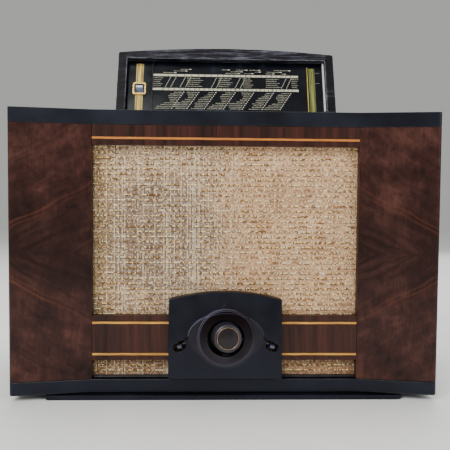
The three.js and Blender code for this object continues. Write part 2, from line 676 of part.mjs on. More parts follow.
// The tuning capacitor: fixed end plates on a base, and half-round plates on a shaft.
function addGang() {
  const { x, y, axis, plate, length, fins, pitch } = GANG;
  const bottom = CHASSIS.top + GAP;
  const halfDepth = plate + 6;
  const base = block(x, x + length, y - halfDepth, y + halfDepth, bottom, bottom + 3);
  const ends = [x, x + length - 3].map((x0) =>
    block(x0, x0 + 3, y - halfDepth, y + halfDepth, bottom + 1, axis + 12));
  const bore = rodAlongX(3.2, x - 20, x + length + 20, 12).translate(0, y, axis);
  add('gang_frame', carve([base, ...ends], [bore]), 'steel');
  const shape = new THREE.Shape();
  shape.absarc(0, 0, plate, 0, Math.PI, false);
  const vanes = [];
  for (let x0 = x + 9; vanes.length < fins; x0 += pitch) {
    vanes.push(alongX(shape, x0, x0 + 2, 10).translate(0, y, axis));
  }
  const shaft = rodAlongX(3, x - 14, x + length + 4, 12).translate(0, y, axis);
  const drum = rodAlongX(18, x - 13, x - 8, 24).translate(0, y, axis);
  add('gang_rotor', carve([shaft, drum, ...vanes]), 'aluminium');
}

// ---------------------------------------------------------------- rear cover

function ventSlots() {
  const { width, height, columns, rows, pitchX, pitchZ, bottom } = VENTS;
  const slots = [];
  for (let column = 0; column < columns; column += 1) {
    for (let row = 0; row < rows; row += 1) {
      const x = (column - (columns - 1) / 2) * pitchX;
      const z = bottom + row * pitchZ;
      slots.push(block(x - width / 2, x + width / 2, COVER.front - 5, BACK + 5, z, z + height));
    }
  }
  return slots;
}

function addRearCover() {
  const halfWidth = HALF - 1.5;
  const back = COVER.front + COVER.thickness;
  const sheet = block(-halfWidth, halfWidth, COVER.front, back, BASE_TOP + GAP, LID_BOTTOM - GAP);
  const outlets = [[172, 224, 78], [-226, -174, 72]].map(([x0, x1, top]) =>
    block(x0, x1, COVER.front - 5, BACK + 5, 40, top));
  const holes = [];
  let number = 1;
  for (const x of [-COVER.screwX, COVER.screwX]) {
    for (const z of COVER.screwZ) {
      holes.push(rod(2.2, -10, 10, 12).rotateX(-Math.PI / 2).translate(x, back, z));
      const screw = turned([[0, -13], [1.6, -12], [1.6, GAP], [4.5, GAP], [4, 1.6], [0, 2.3]], 12);
      add(`cover_screw_${number}`, screw.rotateX(-Math.PI / 2).translate(x, back, z), 'brass');
      number += 1;
    }
  }
  add('rear_cover', carve([sheet], [...ventSlots(), ...outlets, ...holes]), 'fibreboard');
}

addBoards();
addWing('left_wing', -1);
addWing('right_wing', 1);
addSides();
addRails();
addFoot();
addGrille();
addSpeaker();
addEscutcheon();
addWaveLever();
addControl();
addDial();
addWell();
addChassis();
addRearCover();

export default group;
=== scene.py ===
"""Looks for a wide wooden table radio with a tilt-up dial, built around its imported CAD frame."""

import json
import math
import random
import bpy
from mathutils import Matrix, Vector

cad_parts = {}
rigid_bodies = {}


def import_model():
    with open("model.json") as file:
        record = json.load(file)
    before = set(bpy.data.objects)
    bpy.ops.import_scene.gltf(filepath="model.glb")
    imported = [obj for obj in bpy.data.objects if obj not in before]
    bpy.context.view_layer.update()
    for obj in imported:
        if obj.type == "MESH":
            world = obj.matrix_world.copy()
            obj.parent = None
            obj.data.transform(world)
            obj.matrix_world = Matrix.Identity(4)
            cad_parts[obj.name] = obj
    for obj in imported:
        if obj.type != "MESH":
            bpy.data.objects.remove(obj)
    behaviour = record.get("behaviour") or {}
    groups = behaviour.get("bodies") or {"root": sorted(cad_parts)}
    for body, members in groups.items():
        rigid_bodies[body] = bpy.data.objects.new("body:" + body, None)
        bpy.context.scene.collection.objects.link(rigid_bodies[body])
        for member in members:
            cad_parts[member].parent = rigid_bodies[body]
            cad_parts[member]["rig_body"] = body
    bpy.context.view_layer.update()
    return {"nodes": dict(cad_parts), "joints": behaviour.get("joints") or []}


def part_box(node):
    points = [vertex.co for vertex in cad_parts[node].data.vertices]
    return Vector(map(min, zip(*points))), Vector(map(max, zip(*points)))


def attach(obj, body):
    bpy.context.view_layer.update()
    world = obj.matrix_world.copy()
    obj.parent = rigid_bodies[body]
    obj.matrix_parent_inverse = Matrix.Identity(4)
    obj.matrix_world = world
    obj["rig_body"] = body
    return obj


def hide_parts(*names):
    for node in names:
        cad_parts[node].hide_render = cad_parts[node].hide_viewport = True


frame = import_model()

from types import SimpleNamespace as Sizes

import bmesh
import bpy
from mathutils import Matrix, Vector, noise

MM = 0.001
NODES = frame["nodes"]
JOINTS = {joint["name"]: joint for joint in frame["joints"]}

# Lengths are in millimetres, in the frame's own axes.
CAMERA_PLACE = Vector((-24.3, -864.5, 264.4))
CAMERA_YAW, CAMERA_PITCH, CAMERA_ROLL = (math.radians(angle) for angle in (-1.76, 2.43, 0.46))
LENS, SENSOR = 44.8, 36.0

THREAD = 1.75  # pitch of the grille cloth's plain weave
BOUCLE = 4  # every so many rows a thick, knotted gold yarn is woven in

RING = Sizes(x=0.7, z=85.1, plane=-136.0, outer=37.5, lip=34.5, drop=3.6)
BOWL = Sizes(hole=24.5, depth=8.0, steps=8)
LOBE = Sizes(half_width=50.0, half_height=31.5, proud=2.0, crease=-1.0)
GROOVE = Sizes(depth=1.8, width=1.0, start=46.0)  # along each lobe's lower crease, down to its slot
FACE_SLOPE = math.tan(math.radians(5))
FACE_FRONT = -137.0  # the face where it meets the bottom edge
SLOT = Sizes(radius=62.3, length=17.5, width=12.0)
SLOT_ANGLE, SLOT_TILT = math.radians(-11.4), math.radians(-24)  # the right slot's; the left one mirrors it
RISE = 10.2  # how far the arch stands above the escutcheon's shoulders
WALL = 2.2  # thickness of the escutcheon's moulding
RAYS, FACE_STEPS = 360, 64  # mesh of the escutcheon: round the ring, and out over the face

KNOB = Sizes(face=27.0, back=17.5, inside=14.6, bore=9.0, radius=18.8, brass=14.2, wire=0.36)
SKIRT = Sizes(outer=21.5, inner=20.0, first=36, last=70)  # radii, and degrees off the knob's axis
TURNS = 96  # facets round the turned pieces

HINGE = Vector(JOINTS["dial_tilt"]["pos_m"]) / MM
DIAL_LEAN = math.radians(18.8)
DIAL_BASE = 16.3  # height above the hinge from which heights up the dial's face are counted
DIAL_PLANE = 4.3  # the glass behind the hinge
BAR_UPPER, BAR_LOWER = (63.0, 66.6), (40.0, 43.6)  # the printed scales, measured up the face
BAR_ENDS = (-106.0, 108.0)
BAR_POWER = {BAR_UPPER: 0.78, BAR_LOWER: 0.86}  # how the divisions crowd towards one end
DOT_HEIGHTS = (71.4, 54.5)
INK, POINT_INK, TOP_INK, NUMBER_INK = 0.06, 0.08, 0.1, 0.12  # how far each print stands off the glass
HEAD_HEIGHT = 2.3  # of the cover screws


def box_mm(node):
    """Lowest and highest corner of a CAD node in millimetres."""
    low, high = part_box(node)
    return low / MM, high / MM


def rgb(red, green, blue):
    """A screen colour, 0 to 255, as the linear colour that shaders take."""
    parts = [v / 255 for v in (red, green, blue)]
    return tuple(v / 12.92 if v <= 0.04045 else ((v + 0.055) / 1.055) ** 2.4 for v in parts) + (1.0,)


COOL = rgb(216, 220, 250)  # tint of the sheen on the blue-black pieces
PAINTED_HIGHLIGHT = rgb(140, 136, 164)  # pale bluish tint of the painted highlights on the escutcheon's upper edges


# ---- camera and lights


def make_camera():
    data = bpy.data.cameras.new("camera")
    data.lens, data.sensor_width = LENS, SENSOR
    data.clip_start, data.clip_end = 0.01, 50
    camera = bpy.data.objects.new("camera", data)
    bpy.context.scene.collection.objects.link(camera)
    turn = (
        Matrix.Rotation(CAMERA_YAW, 4, "Z")
        @ Matrix.Rotation(math.radians(90) - CAMERA_PITCH, 4, "X")
        @ Matrix.Rotation(CAMERA_ROLL, 4, "Z")
    )
    camera.matrix_world = Matrix.Translation(CAMERA_PLACE * MM) @ turn
    bpy.context.scene.camera = camera


def make_light(name, place, size, power):
    """A soft box, placed in metres, that looks at the middle of the set."""
    data = bpy.data.lights.new(name, "AREA")
    data.shape = "RECTANGLE"
    data.size, data.size_y = size
    data.energy = power
    light = bpy.data.objects.new(name, data)
    light.location = place
    light.rotation_euler = (Vector((0, 0, 0.2)) - Vector(place)).to_track_quat("-Z", "Y").to_euler()
    bpy.context.scene.collection.objects.link(light)


def make_studio():
    make_light("key", (-1.1, -1.7, 1.7), (1.4, 1.1), 44)
    make_light("fill", (1.5, -1.5, 1.0), (1.2, 1.2), 15)
    make_light("top", (0.1, 0.5, 1.9), (1.8, 1.2), 26)
    make_light("back", (0.6, 2.0, 1.0), (1.6, 1.2), 12)
    world = bpy.data.worlds.new("studio")
    world.use_nodes = True
    background = world.node_tree.nodes["Background"]
    background.inputs["Color"].default_value = rgb(226, 227, 224)
    background.inputs["Strength"].default_value = 0.55
    bpy.context.scene.world = world


# ---- node materials


class Look:
    """A node material under construction. Lengths in its textures are in millimetres."""

    def __init__(self, name, **sockets):
        self.material = bpy.data.materials.new(name)
        self.material.use_nodes = True
        self.tree = self.material.node_tree
        self.shader = self.tree.nodes["Principled BSDF"]
        self.point = self.vector("MULTIPLY", self.node("ShaderNodeTexCoord").outputs["Object"], (1000,) * 3)
        for socket, value in sockets.items():
            self.plug(self.shader.inputs[socket.replace("_", " ")], value)

    def node(self, kind, *values, **settings):
        """A new node with these settings and its first inputs plugged."""
        made = self.tree.nodes.new(kind)
        for key, value in settings.items():
            setattr(made, key, value)
        for socket, value in zip(made.inputs, values):
            self.plug(socket, value)
        return made

    def plug(self, socket, value):
        if isinstance(value, bpy.types.NodeSocket):
            self.tree.links.new(value, socket)
        else:
            socket.default_value = value

    def math(self, operation, a, b=0.0):
        return self.node("ShaderNodeMath", a, b, operation=operation).outputs[0]

    def times(self, *values):
        product = values[0]
        for value in values[1:]:
            product = self.math("MULTIPLY", product, value)
        return product

    def plus(self, a, b):
        return self.math("ADD", a, b)

    def minus(self, a, b):
        return self.math("SUBTRACT", a, b)

    def over(self, a, b):
        return self.math("DIVIDE", a, b)

    def size(self, value):
        """The value without its sign."""
        return self.math("ABSOLUTE", value)

    def distance(self, across, up):
        return self.math("SQRT", self.plus(self.times(across, across), self.times(up, up)))

    def vector(self, operation, a, b):
        return self.node("ShaderNodeVectorMath", a, b, operation=operation).outputs[0]

    def stretched(self, x, y, z):
        """The surface point scaled differently along each axis, for streaky textures."""
        return self.vector("MULTIPLY", self.point, (x, y, z))

    def split(self):
        """The surface point's X, Y and Z."""
        return self.node("ShaderNodeSeparateXYZ", self.point).outputs

    def join(self, x, y, z):
        return self.node("ShaderNodeCombineXYZ", x, y, z).outputs[0]

    def noise(self, scale=1.0, vector=None, detail=3.0, roughness=0.5, distortion=0.0):
        made = self.node("ShaderNodeTexNoise", vector or self.point)
        settings = {"Scale": scale, "Detail": detail, "Roughness": roughness, "Distortion": distortion}
        for socket, value in settings.items():
            made.inputs[socket].default_value = value
        return made.outputs["Fac"]

    def grain(self, x, y, z, **settings):
        """Noise with its own scale along each axis, drawn out where the scale is small."""
        return self.noise(1.0, self.stretched(x, y, z), **settings)

    def hash(self, value):
        """A random number from 0 to 1 for each whole number."""
        made = self.node("ShaderNodeTexWhiteNoise", noise_dimensions="1D")
        self.plug(made.inputs["W"], value)
        return made.outputs["Value"]

    def remap(self, value, low, high, to_low=0.0, to_high=1.0, smooth=False):
        kind = "SMOOTHSTEP" if smooth else "LINEAR"
        made = self.node("ShaderNodeMapRange", value, low, high, to_low, to_high, interpolation_type=kind)
        return made.outputs[0]

    def ramp(self, factor, *stops):
        made = self.node("ShaderNodeValToRGB", factor)
        elements = made.color_ramp.elements
        while len(elements) < len(stops):
            elements.new(0.5)
        for element, (place, colour) in zip(elements, stops):
            element.position, element.color = place, colour
        return made.outputs[0]

    def mix(self, factor, a, b):
        made = self.node("ShaderNodeMix", factor, data_type="RGBA")
        self.plug(made.inputs[6], a)
        self.plug(made.inputs[7], b)
        return made.outputs[2]

    def layers(self, colour, *coats):
        """The colour with (amount, tone) coats laid over it in turn."""
        for amount, tone in coats:
            colour = self.mix(amount, colour, tone)
        return colour

    def creases(self):
        """1 in the mesh's hollow edges, 0 on its flats."""
        return self.remap(self.node("ShaderNodeNewGeometry").outputs["Pointiness"], 0.47, 0.42)

    def finish(self, colour, roughness=None, height=None, depth=0.1, strength=1.0):
        """Plugs the textures in. Roughness is (noise, low, high), and depth is the relief in millimetres."""
        self.plug(self.shader.inputs["Base Color"], colour)
        if roughness:
            noise, low, high = roughness
            self.plug(self.shader.inputs["Roughness"], self.remap(noise, 0.3, 0.7, low, high))
        if height is not None:
            bump = self.node("ShaderNodeBump", strength, depth * MM)
            self.plug(bump.inputs["Height"], height)
            self.plug(self.shader.inputs["Normal"], bump.outputs[0])
        return self.material


def wood_pores(look):
    """Fine dark streaks along the upright grain."""
    return look.grain(1.5, 1.5, 0.035, detail=5, roughness=0.65)


def grey_stops(*stops):
    """Colour ramp stops from (place, brightness)."""
    return [(place, rgb(bright, bright, bright)) for place, bright in stops]


def walnut_wing():
    """Book-matched crotch walnut: chevrons that open outwards from a seam at mid height."""
    look = Look("walnut_wing", IOR=1.5, Specular_IOR_Level=0.17)
    x, _, z = look.split()
    low, high = box_mm("right_wing")
    seam = (low.z + high.z) / 2
    from_edge = look.minus(high.x, look.size(x))
    from_seam = look.size(look.minus(z, seam))
    rise = look.times(from_edge, 0.54)
    warp = look.times(look.noise(0.012, detail=2), 22)
    flow = look.plus(look.minus(from_seam, rise), look.minus(warp, 40))
    bands = grey_stops((0.0, 0), (0.36, 30), (0.43, 190), (0.50, 30),
                       (0.60, 20), (0.67, 230), (0.76, 60), (1.0, 0))
    streak = look.ramp(look.remap(flow, -14, 14), *bands)
    fade = look.remap(from_edge, 125, 20, 0.12, 0.62)
    along = look.join(look.times(x, 0.016), 0.0, look.times(flow, 0.075))
    feather = look.noise(1.0, along, detail=8, roughness=0.62, distortion=0.5)
    cloud = look.noise(0.016, detail=5, roughness=0.65)
    mottle = look.noise(0.12, look.stretched(1.0, 1.0, 0.5), detail=6, roughness=0.75)
    mixed = look.plus(look.times(feather, 0.24), look.times(cloud, 0.56))
    mixed = look.plus(mixed, look.times(mottle, 0.28))
    base = look.ramp(mixed, (0.42, rgb(30, 14, 11)), (0.54, rgb(57, 31, 26)), (0.66, rgb(87, 52, 44)))
    middle = look.remap(from_seam, 8, 100, 0.9, 0.0, smooth=True)
    heart = look.times(middle, look.remap(feather, 0.35, 0.6, 1.0, 0.5))
    base = look.mix(heart, base, rgb(28, 9, 5))
    flame = look.times(streak, fade, look.remap(feather, 0.36, 0.6, 0.35, 1.0))
    lit = look.mix(flame, base, rgb(112, 60, 38))
    pores = wood_pores(look)
    grained = look.mix(look.remap(pores, 0.36, 0.6, 0.35, 0.0), lit, rgb(18, 9, 8))
    rough = look.plus(look.remap(pores, 0.3, 0.7, 0.06, 0.0), look.remap(cloud, 0.35, 0.65, 0.26, 0.36))
    look.plug(look.shader.inputs["Roughness"], rough)
    return look.finish(grained, None, pores, 0.03, 0.5)


def walnut_plain(name, dark, light):
    """Straight-grained walnut, its growth lines drawn out upwards."""
    look = Look(name, IOR=1.5, Specular_IOR_Level=0.2)
    lines = look.grain(0.11, 0.11, 0.006, detail=6, roughness=0.6, distortion=0.6)
    pores = wood_pores(look)
    base = look.ramp(lines, (0.35, dark), (0.68, light))
    grained = look.mix(look.remap(pores, 0.4, 0.62, 0.45, 0.0), base, rgb(17, 10, 8))
    return look.finish(grained, (pores, 0.42, 0.28), pores, 0.04, 0.6)


def black_lacquer():
    """Black stain under lacquer, blue-black where it shines."""
    look = Look("black_lacquer", IOR=1.5, Specular_IOR_Level=0.34, Specular_Tint=COOL)
    cloud = look.noise(0.02, detail=5)
    grain = look.grain(0.05, 0.6, 0.6, detail=5, roughness=0.6)
    base = look.ramp(cloud, (0.35, rgb(11, 12, 16)), (0.7, rgb(22, 23, 30)))
    chipped = look.remap(look.noise(0.09, detail=6, roughness=0.8), 0.66, 0.72, 0.0, 0.5)
    colour = look.mix(chipped, base, rgb(9, 9, 11))
    return look.finish(colour, (cloud, 0.3, 0.44), grain, 0.05, 0.4)


def inlay_veneer(name, tone):
    look = Look(name, IOR=1.5)
    lines = look.grain(0.05, 1.2, 1.2, detail=4)
    base = look.mix(look.remap(lines, 0.35, 0.7), tone, rgb(150, 92, 34))
    return look.finish(base, (lines, 0.5, 0.35), lines, 0.02, 0.4)


def thread_lines(look, value, share, seed):
    """1 on the few threads that are paler than their neighbours."""
    turn = look.over(value, THREAD)
    draw = look.hash(look.plus(look.math("FLOOR", turn), seed))
    chosen = look.remap(draw, 1 - share, 1 - share + 0.02)
    off = look.size(look.minus(look.math("FRACT", turn), 0.5))
    broken = look.remap(look.noise(0.09, detail=3, roughness=0.7), 0.42, 0.56, 0.25, 1.0)
    return look.times(chosen, broken, look.remap(off, 0.42, 0.18, smooth=True))


def speaker_shadow(look, x, z):
    """The dark of the loudspeaker's opening, seen through the cloth."""
    low, high = box_mm("speaker_cone")
    centre = (low + high) / 2
    reach = (high.x - low.x) / 2
    away = look.distance(look.minus(x, centre.x), look.minus(z, centre.z))
    uneven = look.times(look.noise(0.05, detail=3), 24)
    inside = look.remap(look.plus(away, uneven), reach + 22, reach - 2, smooth=True)
    thin = look.remap(look.noise(0.3, detail=3), 0.35, 0.65, 0.3, 0.75)
    return look.times(inside, thin)


def tweed():
    """Slubby weave: a pinkish beige ground, pale single threads, and gold yarns that knot over the warp,
    with painted shade and highlights round the gold yarns.
    """
    look = Look("tweed", Roughness=0.95, Sheen_Weight=0.1, Sheen_Roughness=0.5, Specular_IOR_Level=0.12)
    x, _, z = look.split()
    sway = look.times(look.noise(0.04, look.stretched(1, 1, 0.3), detail=3), 2.6)
    turns = look.over(x, THREAD), look.over(look.plus(z, sway), THREAD)
    column, row = (look.math("FLOOR", turn) for turn in turns)
    off_x, off_z = (look.minus(look.math("FRACT", turn), 0.5) for turn in turns)
    dot = look.remap(look.distance(off_x, off_z), 0.66, 0.2, smooth=True)
    chance = look.hash(look.plus(look.times(column, 1.37), look.times(row, 57.31)))
    repeat = look.math("FLOORED_MODULO", row, BOUCLE)
    on_yarn = look.math("LESS_THAN", repeat, 0.5)
    below_yarn = look.math("GREATER_THAN", repeat, BOUCLE - 1.5)
    rich = look.remap(look.noise(0.04, detail=4, roughness=0.65), 0.36, 0.58, 0.35, 1.0)
    left = look.remap(x, 45, -50, smooth=True)
    upright, level = thread_lines(look, x, 0.17, 11.3), thread_lines(look, z, 0.1, 7.7)
    wing, rail = box_mm("left_wing")[1].x, box_mm("lower_rail_left")[0].z
    shade = look.noise(0.03, detail=4, roughness=0.6)
    cloth = look.layers(
        look.ramp(shade, (0.35, rgb(176, 136, 102)), (0.65, rgb(212, 172, 134))),
        (look.times(left, 0.6), rgb(164, 142, 122)),
        (speaker_shadow(look, x, z), rgb(92, 84, 82)),
        # painted shade along the cloth's left edge beside the wing, and on the cloth below the lower rails
        (look.remap(x, wing + 42, wing, 0.0, 0.55, smooth=True), rgb(116, 92, 38)),
        (look.remap(z, rail + 12, rail, 0.0, 0.55), rgb(104, 68, 44)),
        # dark and pale crossings, then pale upright and level threads
        (look.times(look.remap(chance, 0.45, 0.1), look.remap(left, 0, 1, 0.45, 0.7)), rgb(102, 80, 64)),
        (look.times(look.remap(chance, 0.6, 1.0, 0.0, 0.55), dot), rgb(250, 222, 186)),
        (look.times(upright, look.remap(left, 0, 1, 0.12, 0.7)), rgb(246, 228, 196)),
        (look.times(level, look.remap(left, 0, 1, 0.1, 0.5)), rgb(244, 220, 168)),
        # painted shadow under the gold yarn, painted shade in its hollows, its gold knots, and painted
        # highlights on them
        (look.times(below_yarn, look.remap(chance, 0.75, 0.3), rich, 0.85), rgb(84, 54, 24)),
        (look.times(on_yarn, look.remap(chance, 0.55, 0.25), rich, 0.9), rgb(108, 74, 28)),
        (look.times(on_yarn, look.remap(chance, 0.35, 0.55), dot, rich), rgb(240, 192, 88)),
        (look.times(on_yarn, look.remap(chance, 0.62, 0.8), dot), rgb(255, 250, 208)),
    )
    relief = look.plus(look.times(dot, 0.35), look.times(on_yarn, look.remap(chance, 0.3, 0.9), dot))
    return look.finish(cloth, None, relief, 0.5, 0.7)


def bakelite(name, low=rgb(9, 10, 13), high=rgb(18, 19, 24), rough=(0.3, 0.46), specular=0.3):
    look = Look(name, IOR=1.56, Specular_IOR_Level=specular)
    cloud = look.noise(0.05, detail=5)
    fine = look.noise(0.9, detail=4)
    dust = look.remap(look.noise(0.35, detail=6, roughness=0.75), 0.62, 0.78, 0.0, 0.2)
    colour = look.mix(dust, look.ramp(cloud, (0.35, low), (0.7, high)), rgb(50, 50, 54))
    return look.finish(colour, (cloud, *rough), fine, 0.02, 0.35)


def escutcheon_bakelite():
    """Blue-black outside, browner on the lobes, with painted light: lighter towards the bottom, the bowl
    painted dark at its top and pale below, and painted highlights on its upper edges.
    """
    look = Look("escutcheon_bakelite", IOR=1.56, Specular_IOR_Level=0.2, Specular_Tint=COOL)
    x, _, z = look.split()
    across, up = look.minus(x, RING.x), look.minus(z, RING.z)
    away = look.distance(across, up)
    lobe = look.distance(look.over(across, LOBE.half_width), look.over(up, LOBE.half_height))
    cloud = look.noise(0.04, detail=5)
    # painted shade and light in the bowl: dark at its top and pale at its bottom, as a hollow lit from above
    bowl = look.ramp(look.remap(up, 32, -34), (0.0, rgb(18, 8, 7)), (0.45, rgb(34, 28, 30)),
                     (0.75, rgb(52, 48, 52)), (1.0, rgb(54, 51, 56)))
    # strength of the painted highlights, rising towards the upper left
    upper_left = look.remap(look.minus(up, look.times(across, 0.8)), 5, 45)
    edge_gleam = look.remap(upper_left, 0, 1, 0.03, 0.42)
    ring_highlight_lines = (look.remap(look.size(look.minus(away, radius)), 0.6, 0.1)
                  for radius in (RING.outer - 0.3, RING.lip + 0.5))
    lobe_highlight_line = look.remap(look.size(look.minus(lobe, 1.0)), 0.018, 0.0)
    high_side = look.times(look.remap(up, -2, 6), look.remap(across, 20, -20, 0.12, 0.42))
    colour = look.layers(
        look.ramp(cloud, (0.35, rgb(10, 10, 13)), (0.7, rgb(19, 20, 26))),
        # painted light: the face is lighter towards the bottom, as if lit from below
        (look.remap(up, 10, -60, 0.0, 0.5), rgb(34, 35, 42)),
        (look.remap(lobe, 1.02, 0.98, 0.0, 0.7), rgb(36, 32, 34)),
        (look.remap(away, RING.outer + 6, RING.lip - 1, smooth=True), bowl),
        # painted highlights: thin pale lines along the ring's two edges and the lobes' upper edges
        *[(look.times(line, edge_gleam), PAINTED_HIGHLIGHT) for line in ring_highlight_lines],
        (look.times(lobe_highlight_line, high_side), PAINTED_HIGHLIGHT),
        # painted shade in the hollow creases
        (look.creases(), rgb(4, 4, 6)),
    )
    fine = look.noise(0.9, detail=4)
    return look.finish(colour, (cloud, 0.32, 0.46), fine, 0.02, 0.35)


def ebonised():
    """Black frame rubbed grey along its top rail."""
    look = Look("ebonised", IOR=1.5, Specular_IOR_Level=0.14)
    streaks = look.grain(0.025, 0.45, 0.45, detail=7, roughness=0.75)
    spots = look.noise(0.3, detail=6, roughness=0.75)
    cloud = look.noise(0.03, detail=3)
    reach = box_mm("dial_frame")[1].x - HINGE.x
    side = look.remap(look.size(look.minus(look.split()[0], HINGE.x)), reach - 12, reach - 10)
    base = look.layers(
        look.ramp(streaks, (0.40, rgb(10, 10, 13)), (0.50, rgb(34, 33, 40)), (0.64, rgb(112, 112, 124))),
        (look.remap(cloud, 0.4, 0.55, 0.6, 0.0), rgb(14, 13, 18)),
        (look.times(side, 0.85), rgb(9, 9, 12)),
        (look.remap(spots, 0.6, 0.72, 0.0, 0.5), rgb(96, 96, 108)),
    )
    return look.finish(base, (spots, 0.34, 0.6), spots, 0.08, 0.6)


def rubbed_edge(name, dark, light):
    """The rounded edge of a black piece, worn through in places; on the dial frame its pale grey is also a
    painted highlight.
    """
    look = Look(name, IOR=1.5, Specular_IOR_Level=0.3)
    wear = look.noise(0.12, detail=5, roughness=0.7)
    return look.finish(look.ramp(wear, (0.38, dark), (0.6, light)), (wear, 0.3, 0.5))


def metal(name, tone, rough, grain=(0.5, 0.5, 0.5), tarnish=rgb(70, 55, 38)):
    look = Look(name, Metallic=1.0)
    cloud = look.noise(0.12, detail=5)
    lines = look.grain(*grain, detail=4)
    colour = look.mix(look.remap(cloud, 0.45, 0.75, 0.0, 0.35), tone, tarnish)
    return look.finish(colour, (lines, *rough), lines, 0.01, 0.3)


def painted_steel(name="painted_steel", low=rgb(24, 24, 26), high=rgb(44, 43, 44), specular=0.5):
    look = Look(name, IOR=1.5, Specular_IOR_Level=specular)
    cloud = look.noise(0.03, detail=5)
    orange_peel = look.noise(0.8, detail=3)
    colour = look.ramp(cloud, (0.35, low), (0.7, high))
    return look.finish(colour, (cloud, 0.4, 0.6), orange_peel, 0.05, 0.4)


def fibreboard():
    """Pressed brown board with a cloudy face and short fibres."""
    look = Look("fibreboard", Roughness=0.85)
    cloud = look.noise(0.025, detail=6, roughness=0.6)
    fibres = look.grain(0.9, 0.9, 2.6, detail=6, roughness=0.75)
    mixed = look.plus(look.times(cloud, 0.6), look.times(fibres, 0.4))
    colour = look.ramp(mixed, (0.35, rgb(58, 40, 27)), (0.65, rgb(112, 82, 56)))
    return look.finish(colour, None, fibres, 0.12, 0.6)


def plywood():
    """Black-stained plywood, so that the board doesn't show through the cloth; its dark also stands in for
    the shade behind the escutcheon's slots.
    """
    look = Look("plywood", Roughness=0.8)
    lines = look.grain(0.01, 0.8, 0.12, detail=5, distortion=0.5)
    colour = look.ramp(lines, (0.35, rgb(22, 19, 17)), (0.7, rgb(42, 37, 32)))
    return look.finish(colour, None, lines, 0.05, 0.5)


def paper():
    look = Look("pressed_paper", Roughness=0.95)
    fibres = look.noise(0.8, detail=6, roughness=0.7)
    colour = look.ramp(fibres, (0.35, rgb(38, 34, 30)), (0.7, rgb(66, 60, 53)))
    return look.finish(colour, None, fibres, 0.1, 0.6)


def valve_glass():
    """Lamp glass silvered inside by its getter."""
    look = Look("valve_glass", IOR=1.5, Coat_Weight=1.0, Coat_Roughness=0.03)
    haze = look.noise(0.08, detail=4)
    colour = look.ramp(haze, (0.35, rgb(60, 64, 68)), (0.7, rgb(150, 156, 160)))
    return look.finish(colour, (haze, 0.05, 0.2))


def dial_black():
    """Back-printed blue-black glass with a painted blue-grey reflection, strongest low in the middle."""
    look = Look("dial_black", IOR=1.5, Specular_IOR_Level=0.3)
    x, _, z = look.split()
    haze = look.noise(0.035, detail=5, roughness=0.6)
    colour = look.ramp(haze, (0.4, rgb(9, 11, 17)), (0.62, rgb(15, 18, 27)), (0.8, rgb(34, 42, 54)))
    low = box_mm("top_board")[1].z
    # painted reflection: a blue-grey glare low in the middle of the glass
    glare_patch = look.times(
        look.remap(look.size(x), 70, 15, smooth=True), look.remap(z, low + 26, low, smooth=True),
        look.remap(look.noise(0.12, detail=4), 0.45, 0.62), 0.8,
    )
    colour = look.mix(glare_patch, colour, rgb(84, 104, 112))
    return look.finish(colour, (haze, 0.12, 0.3))


def print_ink(name, tone, worn):
    look = Look(name, Roughness=0.6)
    wear = look.noise(0.7, detail=3, roughness=0.7)
    return look.finish(look.mix(look.remap(wear, 0.5, 0.7, 0.0, 0.45), tone, worn))


def gold_strip(name, tone, dark, centre, half_width):
    """Gold print, brighter along its middle and rims, on the dial's leaning face."""
    look = Look(name, Metallic=0.3)
    bands = look.grain(0.9, 0.03, 0.03, detail=4)
    across = look.over(look.size(look.minus(look.split()[0], centre)), half_width)
    rims = grey_stops((0.0, 255), (0.35, 240), (0.55, 60), (0.72, 120), (0.85, 235), (1.0, 200))
    lines = look.ramp(across, *rims)
    shine = look.times(look.remap(bands, 0.3, 0.62), lines)
    return look.finish(look.mix(shine, dark, tone), (bands, 0.3, 0.5))


def eye_glass():
    """A small range window: dark border, cloudy blue-grey middle, and a painted highlight bar near its top.
    """
    look = Look("eye_glass", IOR=1.5, Coat_Weight=1.0, Coat_Roughness=0.03)
    x, _, z = look.split()
    low, high = box_mm("eye_lens")
    centre, half = (low + high) / 2, (high - low) / 2
    up = look.over(look.minus(z, centre.z), half.z)
    off_middle = look.size(look.over(look.minus(x, centre.x), half.x))
    off_highlight_bar = look.size(look.minus(up, 0.5))
    cloud = look.noise(0.12, detail=3)
    colour = look.layers(
        look.ramp(cloud, (0.35, rgb(44, 52, 68)), (0.7, rgb(104, 116, 136))),
        # painted highlight: a pale bar near the window's top
        (look.times(look.remap(off_highlight_bar, 0.24, 0.14), look.remap(off_middle, 0.7, 0.6)), rgb(232, 234, 240)),
        (look.remap(look.math("MAXIMUM", off_middle, look.size(up)), 0.72, 0.8), rgb(10, 10, 12)),
    )
    return look.finish(colour, (cloud, 0.08, 0.2))


def diffuser():
    look = Look("diffuser", Roughness=0.4, IOR=1.45)
    cloud = look.noise(0.2, detail=3)
    return look.finish(look.ramp(cloud, (0.3, rgb(226, 228, 230)), (0.7, rgb(250, 250, 250))))


def floor_paint():
    look = Look("floor", Roughness=0.7)
    cloud = look.noise(0.01, detail=4)
    return look.finish(look.ramp(cloud, (0.3, rgb(248, 248, 246)), (0.7, rgb(253, 253, 251))))


# ---- mesh helpers


def link_mesh(name, verts, faces, material, smooth=True):
    """An object from vertices in millimetres."""
    mesh = bpy.data.meshes.new(name)
    mesh.from_pydata([Vector(v) * MM for v in verts], [], faces)
    mesh.materials.append(material)
    return link_object(name, mesh, smooth)


def link_object(name, mesh, smooth=True):
    piece = bpy.data.objects.new(name, mesh)
    bpy.context.scene.collection.objects.link(piece)
    if smooth:
        mesh.polygons.foreach_set("use_smooth", [True] * len(mesh.polygons))
    mesh.update()
    return piece


def keep(piece, node):
    """The piece stands for one CAD node: it rides on its body."""
    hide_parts(node)
    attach(piece, NODES[node]["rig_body"])


